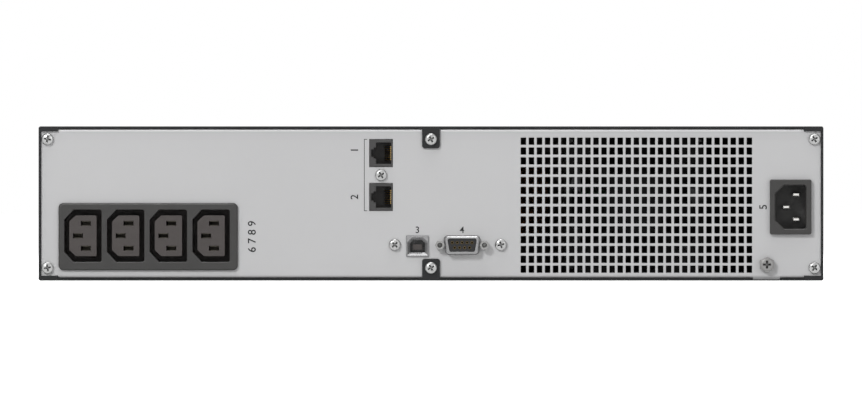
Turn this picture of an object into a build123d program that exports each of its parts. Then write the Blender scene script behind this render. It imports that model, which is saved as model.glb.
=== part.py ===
"""A 2U rackmount uninterruptible power supply, as separate pieces in millimetres.

Frame: the rear panel faces -Y, X runs to the right seen from the rear, Z is up, and the
origin is at the middle of the base. Depths called "into" are measured forwards (+Y) from
the rear edge of the case.
"""
from build123d import *
import math
import os

os.makedirs("parts", exist_ok=True)

# ---------------------------------------------------------------- driving dimensions
case_w = 440.0  # outside width of the case
case_h = 86.5  # outside height, two rack units
case_d = 390.0  # depth of the sheet-metal case
bezel_d = 24.0  # how far the front moulding stands forward of the case
sheet_t = 1.2  # case sheet
panel_t = 1.0  # rear panel sheet
bend_r = 1.2  # outside radius of the case bends
fit_gap = 0.2  # between nested sheets
part_gap = 0.3  # between bodies that move past each other
run_gap = 0.05  # radial gap round turning shafts
bore_gap = 0.2  # radial gap round a fastener in a plain hole

# Rear edge features
lip_l = 10.9  # corner lips
lip_h = 2.8
tab_w = 10.0  # centre tabs
tab_h = 12.3
tab_r = 1.5
tongue_edge = 31.95  # earthing tongue of the rear panel, from the +X side
tongue_w = 15.3
tongue_end_z = 0.6
angle_leg = 11.0  # angles behind the rear panel's ends
angle_reach = 14.0
angle_z0 = 3.5
lug_rise = 10.0  # height of an angle's lug beyond its screw
wall_end_z = 0.6  # lower edge of the front wall
bend_in = 9.0  # rear panel's top and bottom flanges
bend_ease = 0.05  # cover's bend short of the sheet's thickness
cover_front_gap = 0.72  # cover's front flange behind the front wall
wall_slot_over = 3.0  # front wall openings beyond the louvres
cable_slot_w = 40.0  # front wall opening behind the display
cable_slot_h = 18.0

# Rear panel fasteners: pan heads with a cross recess
head_r = 3.35
head_h = 2.3
shank_r = 1.75
screw_l = 7.0
recess_l = 3.7
recess_w = 0.75
recess_deep = 1.3
corner_screw_edge = 5.0  # from the case's side
corner_screw_z = 7.2
tab_screw_z = 7.2
surge_screw = (-28.0, 59.2)
comm_screw_x = (-20.3, 39.2)
comm_screw_z = 20.1

# Earth screw
earth_edge = 31.7
earth_z = 9.0
earth_af = 7.9
earth_head_h = 4.0
earth_r = 2.5
earth_l = 10.0
earth_recess_l = 4.5
earth_recess_w = 1.15
earth_edge_r = 0.5

# Grille
grille_edge = 104.85
grille_z = 42.3
grille_cols = 29
grille_rows = 14
grille_hole_w = 3.05
grille_hole_h = 4.05
grille_pitch_x = 4.525
grille_pitch_z = 5.52

# Outlets (IEC 60320 C13, turned a quarter)
outlet_count = 4
outlet_pitch = 23.95
outlet_edge = 60.82
outlet_z = 25.15
strip_edge = 61.45
strip_z = 24.7
strip_w = 100.5
strip_h = 37.8
strip_r = 2.8
strip_proud = 2.2
strip_bevel = 0.9
strip_deep = 24.0
strip_lap = 1.5  # flange beyond the cut-out
well_w = 20.8
well_h = 29.2
well_deep = 17.0
well_bevel = 0.4
well_r = 1.2
well_cut = (5.2, 5.6)
core_w = 15.3
core_h = 22.8
core_back_t = 4.0
core_setback = 0.4
core_r = 0.8
core_cut = (3.6, 3.4)
core_gap = 0.1
outlet_pin_dx = 1.6
pin_spacing = 14.0
earth_offset = 4.4
outlet_slot_w = 5.6
outlet_slot_h = 2.8
fork_setback = 4.0
fork_t = 0.4
fork_play = 0.05
fork_web_t = 1.0

# Inlet (IEC 60320 C14, turned a quarter)
inlet_edge = 18.4
inlet_z = 41.3
inlet_w = 23.3
inlet_h = 30.8
inlet_r = 1.0
inlet_proud = 3.0
inlet_body_w = 20.0
inlet_body_h = 27.4
inlet_body_deep = 18.0
inlet_cav_w = 17.2
inlet_cav_h = 24.4
inlet_cav_deep = 17.0
inlet_bevel = 0.6
inlet_pin_w = 4.0
inlet_pin_t = 2.0
inlet_pin_setback = 4.6
inlet_pin_dx = 3.2
inlet_earth_offset = 5.6
inlet_edge_r = 0.8
inlet_cav_r = 1.2
inlet_cav_cut = (5.0, 4.8)
inlet_pin_bevel = 0.5
inlet_tail_w = 3.8
wing_w = 8.0
wing_l = 9.0
wing_t = 1.0
tail_l = 9.0  # solder tails behind inlet and outlets
tail_w = 4.8
tail_t = 0.8

# Surge jacks (RJ45, turned a quarter)
jack_x = -28.0
jack_z = (71.5, 46.9)
jack_names = ("surge_jack_out", "surge_jack_in")
jack_w = 13.1
jack_h = 15.6
jack_deep = 18.0
jack_proud = 0.4
jack_cav_x0 = -2.9
jack_cav_x1 = 5.7
jack_cav_h = 12.0
jack_cav_deep = 13.0
jack_wires = 8
jack_wire_pitch = 1.02
jack_wire_t = 0.45
jack_bevel = 0.35
jack_steps = ((-4.2, -2.8, 6.2), (-5.6, -4.1, 4.1))  # keyway: X from, X to, height
wire_start = 2.0  # depths along a contact wire, from the jack's face
wire_bend = 2.8
wire_low = 9.8
wire_drop = 3.2
wire_deep = 0.5
surge_board_into = (4.0, 46.0)
surge_board_z = (37.0, 82.0)
surge_bracket_into = 34.0
bracket_half_h = 4.0
board_t = 1.6

# USB-B
usb_x = -7.55
usb_z = 19.3
usb_w = 12.4
usb_h = 11.6
usb_proud = 0.8
usb_deep = 16.0
usb_open_w = 8.15
usb_open_h = 6.8
usb_funnel = 1.7
usb_key = 1.7  # cut corners of the opening
usb_back_t = 2.0
usb_tongue_w = 5.3
usb_tongue_t = 3.0
usb_tongue_drop = 0.5
usb_tongue_setback = 3.0

# Serial port, nine-way
serial_x = 17.45
serial_z = 19.9
serial_top_w = 20.2
serial_bottom_w = 17.6
serial_h = 10.1
serial_r = 1.7
serial_rim = 1.75
serial_reach = 5.0
serial_plate_w = 30.8
serial_plate_h = 12.5
serial_plate_t = 0.8
serial_pitch = 2.77
serial_row = 2.84
jackscrew_spacing = 25.0
jackscrew_af = 4.8
jackscrew_l = 4.6
jackscrew_hole_r = 1.42
jackscrew_stem_r = 2.0
jackscrew_stem_l = 2.5  # beyond the shell's plate
serial_deep = 11.0  # behind the panel
serial_body_w = 19.0
serial_inner_r = 1.2
serial_rim_bevel = 0.7
serial_setback = 0.5
serial_socket_setback = 0.8
shell_fit = 0.1  # insulator in its shell
serial_socket_r = 0.85
serial_pin_hole_r = 0.55
serial_pin_hole_l = 7.0
serial_end_wall = 2.0
comm_x = (-27.0, 46.0)
comm_into = 46.0
comm_screw_clear = 0.15  # bracket over the lower tab's screw
comm_spacer_h = 1.2
comm_spacer_r = 2.5
comm_spacer_inset = 5.0
comm_spacer_into = (12.0, 40.0)
comm_bracket_top = 28.5
comm_notch = 0.5  # bracket round the port shells

# Fan
fan_edge = 105.0
fan_z = 43.25
fan_size = 80.0
fan_t = 25.0
fan_into = 10.0
fan_bore_r = 38.3
fan_flange_t = 4.0
fan_hole_spacing = 71.5
fan_hole_r = 2.15
hub_r = 18.0
hub_wall = 1.6
blade_tip_r = 37.4
blade_count = 7
blade_chord = 20.0
blade_t = 1.5
blade_pitch = 38.0
fan_shaft_r = 1.5
strut_count = 4
strut_w = 3.0
strut_t = 2.4
fan_corner_r = 4.0
fan_wall_inset = 0.1  # housing wall from the flanges' edge
blade_round = 0.45  # edge radius as a share of the thickness
motor_base_t = 2.0
tube_r = 4.5  # bearing tube
tube_l = 16.0
bearing_r = 3.0
bearing_into = 3.0
fan_end_gap = 2.0
boss_cap_t = 0.8
stator_into = 4.0
stator_l = 9.0
stator_yoke_r = 7.0
pole_r = 9.0
pole_l = 9.0
pole_w = 4.0
pole_cap_r = 12.6
pole_cap_t = 2.2
pole_cap_w = 11.0
bracket_edge = 0.5
bracket_column = 5.0
bracket_foot_half = 5.0
bracket_foot_h = 10.0
bracket_foot_reach = 9.0

# Inner fasteners and standoffs
m4_head_r = 3.9
m4_head_h = 2.6
m4_r = 1.95
m4_l = 8.0
standoff_h = 8.0
standoff_r = 3.5
standoff_foot_r = 4.2

# Transformer
iron_w = 86.0
iron_h = 71.6
iron_stack = 66.0
iron_leg = 14.35
iron_x = 40.0
iron_into = 300.0
coil_t = 13.2
coil_gap = 0.6
clamp_t = 1.5
clamp_w = 40.0
clamp_foot = 16.0
clamp_screw_inset = 8.0
coil_end_gap = 0.5
coil_corner_r = 6.0

# Main board
main_edge = 16.0
main_w = 248.0
main_into0 = 56.0
main_into1 = 146.0
main_hole_inset = 6.0
sink_l = 90.0
sink_w = 30.0
sink_h = 52.0
sink_web_t = 5.0
fin_count = 6
fin_t = 2.0
fin_margin = 4.0
sink_from_edge = (54.0, 160.0)  # heatsink middles, from the board's -X edge
sink_into = 118.0
transistor_count = 4
transistor_pitch = 20.0
transistor_w = 10.0
transistor_t = 4.5
transistor_z = (6.0, 22.0)  # above the board
lead_pitch = 2.54
lead_w = 0.8
lead_back = 2.6  # from the heatsink's face
lead_t = 0.6
capacitor_count = 5
capacitor_pitch = 26.0
capacitor_from_edge = 18.0
capacitor_into = 76.0
capacitor_r = 9.0
capacitor_h = 40.0
capacitor_edge_r = 1.2
relay_count = 3
relay_pitch = 26.0
relay_from_edge = 158.0
relay_into = 66.0
relay_l = 20.0
relay_w = 16.0
relay_h = 16.0
fuse_from_edge = 228.0
fuse_into = 116.0
fuse_z = 6.0
fuse_r = 3.2
fuse_l = 32.0
clip_off = 13.0
clip_w = 6.0
clip_l = 10.0
clip_h = 4.0

# Battery drawer
battery_l = 151.0
battery_w = 65.0
battery_h = 94.0
battery_count = 2
battery_play = 0.8
battery_gap = 8.0  # room for the terminals
faston_l = 6.0
faston_w = 6.4
faston_t = 0.8
drawer_edge = 104.0
drawer_clear = 1.0
drawer_side_h = 42.0
drawer_tail = 10.0
drawer_lift = 5.7
runner_t = 1.5
runner_h = 14.0
drawer_plate_z0 = 5.9
drawer_plate_z1 = 80.0
drawer_plate_over = 18.0
plug_w = 30.0
plug_h = 20.0
plug_l = 14.0
plug_z = 27.0
plug_body_l = 8.0
plug_pin_off = 7.0
plug_pin_r = 3.0
socket_l = 12.0
socket_pin_l = 8.0
socket_foot_l = 8.0
door_side_gap = 1.0
door_top_gap = 2.0
runner_shelf = 12.0
runner_end_gap = 1.0
case_wall = 3.0  # battery case
cover_t = 6.0
plates_setback = 6.0
plates_share = 0.55  # of a cell's width, as the plates' paste is porous
plates_top_gap = 1.0
terminal_inset = 12.0
cell_count = 6
cell_wall = 1.5
fascia_t = 2.4
fascia_gap = 0.5
fascia_corner_r = 3.0
fascia_edge_r = 1.2
knob_setback = 1.0
knob_chamfer = 0.5
knurl_count = 24
knurl_r = 0.35
knob_slot_w = 1.2
knob_slot_l = 8.0
knob_slot_deep = 0.9
knob_thread_l = 2.5
knob_r = 5.5
knob_l = 8.0
knob_well_r = 7.5
knob_x_inset = 10.5
knob_shank_r = 1.95
pull_w = 62.0
pull_h = 16.0
pull_deep = 14.0

# Front moulding and controls
bezel_edge = 0.3
bezel_t = 2.5
bezel_r = 5.0
bezel_corner_r = 0.8
bezel_post_r = 2.2
bezel_post_inset_z = 12.0
bezel_post_side = (2.7, 4.5)  # from the moulding's inner walls
bezel_post_gap = (4.0, 3.0)  # from the drawer front and the control board
boss_r = 3.0
boss_pin_r = 1.4
boss_inset = (5.0, 4.0)
window_lap = 2.0  # the window's seat
window_fit = 0.1
window_corner_r = 1.0
louvre_r = 1.4
window_edge = 128.0
window_z = 45.0
window_w = 84.0
window_h = 38.0
window_t = 2.0
display_t = 7.0
louvre_x = 12.0
louvre_w = 46.0
louvre_count = 9
louvre_pitch = 7.0
louvre_h = 3.2
key_edge = 62.0
key_spacing = 22.0
key_w = 18.0
key_h = 9.0
key_r = 1.8
key_edge_r = 0.6
key_flange_t = 1.2
key_stem_r = 2.0
power_edge = 28.0
power_r = 8.5
power_edge_r = 0.8
key_proud = 1.0
key_travel = 0.7
button_travel = 1.0
key_flange = 1.0
control_edge = 14.0
control_w = 160.0
control_h = 56.0
control_gap = 6.4  # from the case's front wall
switch_size = 6.0
switch_l = 5.0
switch_body_l = 3.5
switch_plunger_r = 1.7
display_inset = 1.0

# Rack-ear fixing, both sides
ear_spacing_y = 30.0
ear_spacing_z = 44.0
ear_from_front = 14.0
ear_hole_r = 2.0
ear_nut_r = 3.6
ear_nut_l = 2.4
ear_nut_neck_r = 2.8

# Cover screws and side vents
cover_flange_h = 12.0
cover_flange_inset = 20.0
cover_front_flange_h = 3.0
cover_screw_into = (40.0, 190.0, 340.0)
cover_screw_z = 79.0
cover_screw_l = 6.0
cover_recess_l = 2.6
vent_w = 3.0
vent_h = 22.0
vent_pitch = 7.0
vent_count = 14
vent_into = 215.0
vent_z = 46.0

# ---------------------------------------------------------------- derived places
reach_out = serial_reach - sheet_t
rear_y = reach_out - (case_d + bezel_d + key_proud + reach_out) / 2
side_x = case_w / 2
inner_x = side_x - sheet_t
roof_z = case_h - sheet_t
panel_into = sheet_t
behind_into = panel_into + panel_t
front_into = case_d
bezel_into = case_d + bezel_d
mid_z = case_h / 2
corner_screw_x = side_x - corner_screw_edge
tongue_x = side_x - tongue_edge
earth_x = side_x - earth_edge
grille_x = side_x - grille_edge
outlet_x = outlet_edge - side_x
strip_x = strip_edge - side_x
inlet_x = side_x - inlet_edge
fan_x = side_x - fan_edge
main_x0 = main_edge - side_x
main_x1 = main_x0 + main_w
drawer_x = drawer_edge - side_x
window_x = side_x - window_edge
key_x = side_x - key_edge
power_x = side_x - power_edge
control_x1 = side_x - control_edge
control_x0 = control_x1 - control_w
control_into = front_into + control_gap


def at_y(into):
    """Distance forwards from the rear edge, as a Y position."""
    return rear_y + into


def rear_plane(into):
    """Upright plane at a depth, facing the rear, with X to the right and Z up."""
    return Plane.XZ.offset(-at_y(into))


def front_plane(into):
    """Upright plane at a depth, facing the front, with +X to its left and Z up."""
    return Plane(origin=(0, at_y(into), 0), x_dir=(-1, 0, 0), z_dir=(0, 1, 0))


def write(builder, label):
    """Labels a finished piece and writes it as a STEP file."""
    builder.part.label = label
    export_step(builder.part, f"parts/{label}.step")


def slab(x0, x1, into0, into1, z0, z1, mode=Mode.ADD):
    """A box between two corners, with its depths measured from the rear edge."""
    middle = ((x0 + x1) / 2, at_y((into0 + into1) / 2), (z0 + z1) / 2)
    with Locations(middle):
        Box(abs(x1 - x0), abs(into1 - into0), abs(z1 - z0), mode=mode)


def rod(x, z, into0, into1, radius, mode=Mode.ADD):
    """A round bar or hole along Y."""
    with Locations(Location((x, at_y((into0 + into1) / 2), z), (90, 0, 0))):
        Cylinder(radius, abs(into1 - into0), mode=mode)


def post(x, into, z0, z1, radius, mode=Mode.ADD):
    """A round bar or hole along Z."""
    with Locations((x, at_y(into), (z0 + z1) / 2)):
        Cylinder(radius, abs(z1 - z0), mode=mode)


def port_plane(x, into, z):
    """Upright plane centred on a port, facing the rear."""
    return Plane(origin=(x, at_y(into), z), x_dir=(1, 0, 0), z_dir=(0, -1, 0))


def keyed_face(plane, width, height, corner_r, cut_x, cut_z):
    """Face of a C13 or C14 shape: chamfered on its -X side, rounded on +X."""
    with BuildSketch(plane) as outline:
        with BuildLine():
            Polyline(
                (width / 2, -height / 2),
                (width / 2, height / 2),
                (-width / 2 + cut_x, height / 2),
                (-width / 2, height / 2 - cut_z),
                (-width / 2, -height / 2 + cut_z),
                (-width / 2 + cut_x, -height / 2),
                close=True,
            )
        make_face()
        fillet(vertices().group_by(Axis.X)[-1], corner_r)
    return outline.sketch


def d_face(plane, top_w, bottom_w, height, radius):
    """Face of a D-sub shell, wide side up."""
    with BuildSketch(plane) as outline:
        with BuildLine():
            Polyline(
                (-top_w / 2, height / 2),
                (top_w / 2, height / 2),
                (bottom_w / 2, -height / 2),
                (-bottom_w / 2, -height / 2),
                close=True,
            )
        make_face()
        fillet(vertices(), radius)
    return outline.sketch


def pan_screw(radius, height, shank, length, slot_l, slot_w, slot_deep):
    """A pan-head screw with a cross recess; its head's seat is at the origin, head up."""
    with BuildPart() as screw:
        with BuildSketch(Plane.XZ):
            with BuildLine():
                Line((0, 0), (0, height))
                ThreePointArc((0, height), (radius * 0.7, height * 0.82), (radius, height * 0.3))
                Line((radius, height * 0.3), (radius, 0))
                Line((radius, 0), (0, 0))
            make_face()
        revolve(axis=Axis.Z)
        with Locations((0, 0, -length / 2)):
            Cylinder(shank, length)
        with BuildSketch(Plane.XY.offset(height)):
            Rectangle(slot_l, slot_w)
            Rectangle(slot_w, slot_l)
        extrude(amount=-slot_deep, taper=8, mode=Mode.SUBTRACT)
    return screw.part


outlet_xs = [outlet_x + outlet_pitch * (i - (outlet_count - 1) / 2) for i in range(outlet_count)]
lug_z = corner_screw_z + lug_rise
corner_points = [
    (side * corner_screw_x, z) for side in (-1, 1) for z in (corner_screw_z, case_h - corner_screw_z)
]
tab_points = [(0, tab_screw_z), (0, case_h - tab_screw_z)]
comm_points = [(x, comm_screw_z) for x in comm_screw_x]
jackscrew_xs = [serial_x - jackscrew_spacing / 2, serial_x + jackscrew_spacing / 2]
ear_intos = [case_d - ear_from_front, case_d - ear_from_front - ear_spacing_y]
ear_zs = [mid_z - ear_spacing_z / 2, mid_z + ear_spacing_z / 2]
louvre_span = (louvre_count - 1) * louvre_pitch
screw_reach = screw_l + panel_into  # depth that the rear screws reach

# Battery drawer places, from the batteries outwards
drawer_w = battery_l + 2 * battery_play + 2 * sheet_t
drawer_x0 = drawer_x - drawer_w / 2
drawer_x1 = drawer_x + drawer_w / 2
drawer_z = sheet_t + drawer_lift
battery_z0 = drawer_z + sheet_t
battery_z1 = battery_z0 + battery_w
drawer_front_into = front_into + part_gap
battery_into1 = drawer_front_into - battery_play
battery_into0 = battery_into1 - battery_count * battery_h - (battery_count - 1) * battery_gap
drawer_back_into = battery_into0 - drawer_tail
plug_into = drawer_back_into - sheet_t
door_x0 = drawer_x0 - door_side_gap
door_x1 = drawer_x1 + door_side_gap
door_z0 = drawer_z - door_side_gap
door_z1 = battery_z1 + door_top_gap
fascia_x0 = drawer_x0 - drawer_plate_over
fascia_x1 = drawer_x1 + drawer_plate_over
knob_points = [(x, mid_z) for x in (fascia_x0 + knob_x_inset, fascia_x1 - knob_x_inset)]

# Transformer places
clamp_outer = iron_w / 2 + clamp_t
foot_xs = [iron_x - clamp_outer - clamp_foot / 2, iron_x + clamp_outer + clamp_foot / 2]
clamp_screw_off = clamp_w / 2 - clamp_screw_inset
foot_intos = [iron_into - clamp_screw_off, iron_into + clamp_screw_off]

# Main board and fan bracket screws
main_hole_xs = [main_x0 + main_hole_inset, main_x1 - main_hole_inset]
main_hole_intos = [main_into0 + main_hole_inset, main_into1 - main_hole_inset]
standoff_top = sheet_t + standoff_h
bracket_foot_x = 22.0  # each side of the fan's axis
bracket_xs = [fan_x - bracket_foot_x, fan_x + bracket_foot_x]
bracket_foot_into = fan_into + fan_t + sheet_t + bracket_foot_reach
socket_foot_into = plug_into - plug_l - socket_l
standoff_points = [(x, d) for x in main_hole_xs for d in main_hole_intos]
standoff_points += [(x, d) for x in foot_xs for d in foot_intos]
standoff_points += [(x, bracket_foot_into) for x in bracket_xs]
standoff_points += [(drawer_x, socket_foot_into)]

# ---------------------------------------------------------------- case
with BuildPart() as chassis_tray:
    with BuildSketch(rear_plane(0)):
        with Locations((0, mid_z)):
            Rectangle(case_w, case_h)
        fillet(vertices().group_by(Axis.Y)[0], bend_r)
        with Locations((0, (sheet_t + case_h) / 2)):
            Rectangle(2 * inner_x, case_h - sheet_t, mode=Mode.SUBTRACT)
        with Locations((0, case_h - sheet_t / 2)):
            Rectangle(case_w, sheet_t, mode=Mode.SUBTRACT)
    extrude(amount=-case_d)
    # Lips and tab turned up at the rear edge of the floor
    with BuildSketch(rear_plane(0)):
        for side in (-1, 1):
            with Locations((side * (side_x - lip_l / 2), lip_h / 2)):
                Rectangle(lip_l, lip_h)
        with Locations((0, tab_h / 2)):
            Rectangle(tab_w, tab_h)
        fillet(vertices().group_by(Axis.Y)[-1], tab_r)
        fillet(vertices().group_by(Axis.X)[0].sort_by(Axis.Y)[:1], bend_r)
        fillet(vertices().group_by(Axis.X)[-1].sort_by(Axis.Y)[:1], bend_r)
    extrude(amount=-sheet_t)
    # Angles welded behind the rear panel's ends, tapped for its corner screws
    for side in (-1, 1):
        for z0, z1 in ((angle_z0, lug_z), (case_h - lug_z, case_h - angle_z0)):
            slab(side * (inner_x - angle_leg), side * inner_x, behind_into, behind_into + sheet_t, z0, z1)
        slab(
            side * (inner_x - sheet_t),
            side * inner_x,
            behind_into,
            behind_into + angle_reach,
            angle_z0,
            roof_z - cover_flange_h - part_gap,
        )
    # Front wall turned up from the floor
    slab(-inner_x, inner_x, front_into - sheet_t, front_into, wall_end_z, roof_z - fit_gap)
    slab(
        door_x0,
        door_x1,
        front_into - 2 * sheet_t,
        front_into + sheet_t,
        door_z0,
        door_z1,
        mode=Mode.SUBTRACT,
    )
    slab(
        louvre_x - louvre_w / 2,
        louvre_x + louvre_w / 2,
        front_into - 2 * sheet_t,
        front_into + sheet_t,
        mid_z - louvre_span / 2 - wall_slot_over,
        mid_z + louvre_span / 2 + wall_slot_over,
        mode=Mode.SUBTRACT,
    )
    slab(
        window_x - cable_slot_w / 2,
        window_x + cable_slot_w / 2,
        front_into - 2 * sheet_t,
        front_into + sheet_t,
        window_z - cable_slot_h / 2,
        window_z + cable_slot_h / 2,
        mode=Mode.SUBTRACT,
    )
    tapped_r = knob_shank_r + run_gap
    for x, z in knob_points:
        rod(x, z, front_into - 2 * sheet_t, front_into + sheet_t, tapped_r, mode=Mode.SUBTRACT)
    # Clearance for the earthing tongue in the floor's rear edge
    slab(
        tongue_x - tongue_w / 2 - part_gap,
        tongue_x + tongue_w / 2 + part_gap,
        -sheet_t,
        behind_into + part_gap,
        -sheet_t,
        2 * sheet_t,
        mode=Mode.SUBTRACT,
    )
    for x, z in corner_points:
        rod(x, z, 0, screw_reach, shank_r, mode=Mode.SUBTRACT)
    rod(0, tab_screw_z, -sheet_t, panel_into, shank_r + bore_gap, mode=Mode.SUBTRACT)
    for x, into in standoff_points:
        post(x, into, -sheet_t, 2 * sheet_t, standoff_foot_r, mode=Mode.SUBTRACT)
    # Side walls: ear nuts, cover screws and vents
    for side in (-1, 1):
        for into in ear_intos:
            for z in ear_zs:
                with Locations(Location((side * side_x, at_y(into), z), (0, 90, 0))):
                    Cylinder(ear_nut_neck_r, 4 * sheet_t, mode=Mode.SUBTRACT)
        for into in cover_screw_into:
            with Locations(Location((side * side_x, at_y(into), cover_screw_z), (0, side * 90, 0))):
                Cylinder(shank_r + bore_gap, 4 * sheet_t, mode=Mode.SUBTRACT)
                Cone(
                    shank_r + bore_gap,
                    shank_r + bore_gap + 2 * sheet_t,
                    2 * sheet_t,
                    mode=Mode.SUBTRACT,
                )
        for i in range(vent_count):
            into = vent_into + (i - (vent_count - 1) / 2) * vent_pitch
            slab(
                side * (inner_x - sheet_t),
                side * (side_x + sheet_t),
                into - vent_w / 2,
                into + vent_w / 2,
                vent_z - vent_h / 2,
                vent_z + vent_h / 2,
                mode=Mode.SUBTRACT,
            )
write(chassis_tray, "chassis_tray")

cover_edge_r = sheet_t - bend_ease
cover_stop = front_into - sheet_t - cover_front_gap
with BuildPart() as top_cover:
    with BuildSketch(rear_plane(0)):
        with Locations((0, case_h - sheet_t / 2)):
            Rectangle(case_w, sheet_t)
        fillet(vertices().group_by(Axis.Y)[-1], cover_edge_r)
    extrude(amount=-case_d)
    with BuildSketch(rear_plane(0)):
        for side in (-1, 1):
            with Locations((side * (side_x - lip_l / 2), case_h - lip_h / 2)):
                Rectangle(lip_l, lip_h)
            with Locations((side * (side_x - sheet_t / 2), case_h - lip_h)):
                Rectangle(sheet_t, 2 * (lip_h - sheet_t), mode=Mode.SUBTRACT)
        with Locations((0, case_h - tab_h / 2)):
            Rectangle(tab_w, tab_h)
        fillet(vertices().group_by(Axis.Y)[0], tab_r)
        fillet(vertices().group_by(Axis.Y)[-1].group_by(Axis.X)[0], cover_edge_r)
        fillet(vertices().group_by(Axis.Y)[-1].group_by(Axis.X)[-1], cover_edge_r)
    extrude(amount=-sheet_t)
    # Side flanges inside the tray's walls, and a front flange behind the front wall
    for side in (-1, 1):
        slab(
            side * (inner_x - fit_gap - sheet_t),
            side * (inner_x - fit_gap),
            cover_flange_inset,
            front_into - cover_flange_inset,
            roof_z - cover_flange_h,
            roof_z,
        )
    slab(
        cover_flange_inset - inner_x,
        inner_x - cover_flange_inset,
        cover_stop - sheet_t,
        cover_stop,
        roof_z - cover_front_flange_h,
        roof_z,
    )
    rod(0, case_h - tab_screw_z, -sheet_t, panel_into, shank_r + bore_gap, mode=Mode.SUBTRACT)
    for side in (-1, 1):
        for into in cover_screw_into:
            with Locations(Location((side * (inner_x - sheet_t), at_y(into), cover_screw_z), (0, 90, 0))):
                Cylinder(shank_r, 4 * sheet_t, mode=Mode.SUBTRACT)
write(top_cover, "top_cover")

# ---------------------------------------------------------------- rear panel
panel_half = inner_x - fit_gap
panel_z0 = sheet_t + fit_gap
panel_z1 = roof_z - fit_gap

with BuildPart() as rear_panel:
    # A channel: the face, with its top and bottom edges bent forwards
    with BuildSketch(Plane.YZ):
        with Locations((at_y(panel_into + (panel_t + bend_in) / 2), (panel_z0 + panel_z1) / 2)):
            Rectangle(panel_t + bend_in, panel_z1 - panel_z0)
            fillet(vertices().group_by(Axis.X)[0], bend_r)
        with Locations((at_y(behind_into + bend_in / 2), (panel_z0 + panel_z1) / 2)):
            Rectangle(bend_in, panel_z1 - panel_z0 - 2 * panel_t, mode=Mode.SUBTRACT)
    extrude(amount=panel_half, both=True)
    slab(
        tongue_x - tongue_w / 2,
        tongue_x + tongue_w / 2,
        panel_into,
        behind_into,
        tongue_end_z,
        panel_z0 + 2 * bend_r,
    )
    slab(
        tongue_x - tongue_w / 2 - part_gap,
        tongue_x + tongue_w / 2 + part_gap,
        behind_into,
        behind_into + bend_in + panel_t,
        panel_z0 - panel_t,
        panel_z0 + panel_t,
        mode=Mode.SUBTRACT,
    )
    # Everything cut through the sheet
    with BuildSketch(rear_plane(panel_into - panel_t)):
        with Locations((grille_x, grille_z)):
            with GridLocations(grille_pitch_x, grille_pitch_z, grille_cols, grille_rows):
                Rectangle(grille_hole_w, grille_hole_h)
        with Locations((strip_x, strip_z)):
            RectangleRounded(strip_w - 2 * strip_lap, strip_h - 2 * strip_lap, strip_r)
        with Locations((inlet_x, inlet_z)):
            Rectangle(inlet_body_w + fit_gap, inlet_body_h + fit_gap)
        for z in jack_z:
            with Locations((jack_x, z)):
                Rectangle(jack_w + fit_gap, jack_h + fit_gap)
        with Locations((usb_x, usb_z)):
            Rectangle(usb_w + fit_gap, usb_h + fit_gap)
        for x, z in corner_points:
            with Locations((x, z)):
                Circle(shank_r + bore_gap)
        for x, z in comm_points + [surge_screw]:
            with Locations((x, z)):
                Circle(shank_r + bore_gap)
        for x, z in tab_points:
            with Locations((x, z)):
                Circle(shank_r)
        for x in jackscrew_xs:
            with Locations((x, serial_z)):
                Circle(jackscrew_stem_r + bore_gap)
        with Locations((earth_x, earth_z)):
            Circle(earth_r)
    extrude(amount=-3 * panel_t, mode=Mode.SUBTRACT)
    serial_hole = d_face(
        port_plane(serial_x, panel_into - panel_t, serial_z),
        serial_top_w + 2 * part_gap,
        serial_bottom_w + 2 * part_gap,
        serial_h + 2 * part_gap,
        serial_r + part_gap,
    )
    extrude(serial_hole, amount=-3 * panel_t, mode=Mode.SUBTRACT)
write(rear_panel, "rear_panel")

# ---------------------------------------------------------------- outside fasteners
panel_screw = pan_screw(head_r, head_h, shank_r, screw_l, recess_l, recess_w, recess_deep)

with BuildPart() as rear_screws:
    for x, z in corner_points + comm_points + [surge_screw]:
        with Locations(Location((x, at_y(panel_into), z), (90, 0, 0))):
            add(panel_screw)
    for x, z in tab_points:
        with Locations(Location((x, at_y(0), z), (90, 0, 0))):
            add(panel_screw)
write(rear_screws, "rear_screws")

with BuildPart() as earth_screw:
    with BuildSketch(rear_plane(panel_into)):
        with Locations((earth_x, earth_z)):
            RegularPolygon(earth_af / 2, 6, major_radius=False, rotation=30)
    extrude(amount=earth_head_h)
    crown = faces().sort_by(Axis.Y)[0]
    fillet(crown.edges(), earth_edge_r)
    with BuildSketch(rear_plane(panel_into - earth_head_h)):
        with Locations((earth_x, earth_z)):
            Rectangle(earth_recess_l, earth_recess_w)
            Rectangle(earth_recess_w, earth_recess_l)
    extrude(amount=-recess_deep, mode=Mode.SUBTRACT)
    rod(earth_x, earth_z, panel_into, panel_into + earth_l, earth_r)
write(earth_screw, "earth_screw")

with BuildPart() as cover_screws:
    for side in (-1, 1):
        for into in cover_screw_into:
            head_x = side * (side_x - sheet_t / 2)
            shank_x = side * (inner_x - cover_screw_l / 2)
            with Locations(Location((head_x, at_y(into), cover_screw_z), (0, side * 90, 0))):
                Cone(shank_r, shank_r + sheet_t, sheet_t)
            with Locations(Location((shank_x, at_y(into), cover_screw_z), (0, 90, 0))):
                Cylinder(shank_r, cover_screw_l)
            with Locations((side * side_x, at_y(into), cover_screw_z)):
                Box(sheet_t, recess_w, cover_recess_l, mode=Mode.SUBTRACT)
                Box(sheet_t, cover_recess_l, recess_w, mode=Mode.SUBTRACT)
write(cover_screws, "cover_screws")

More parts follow.
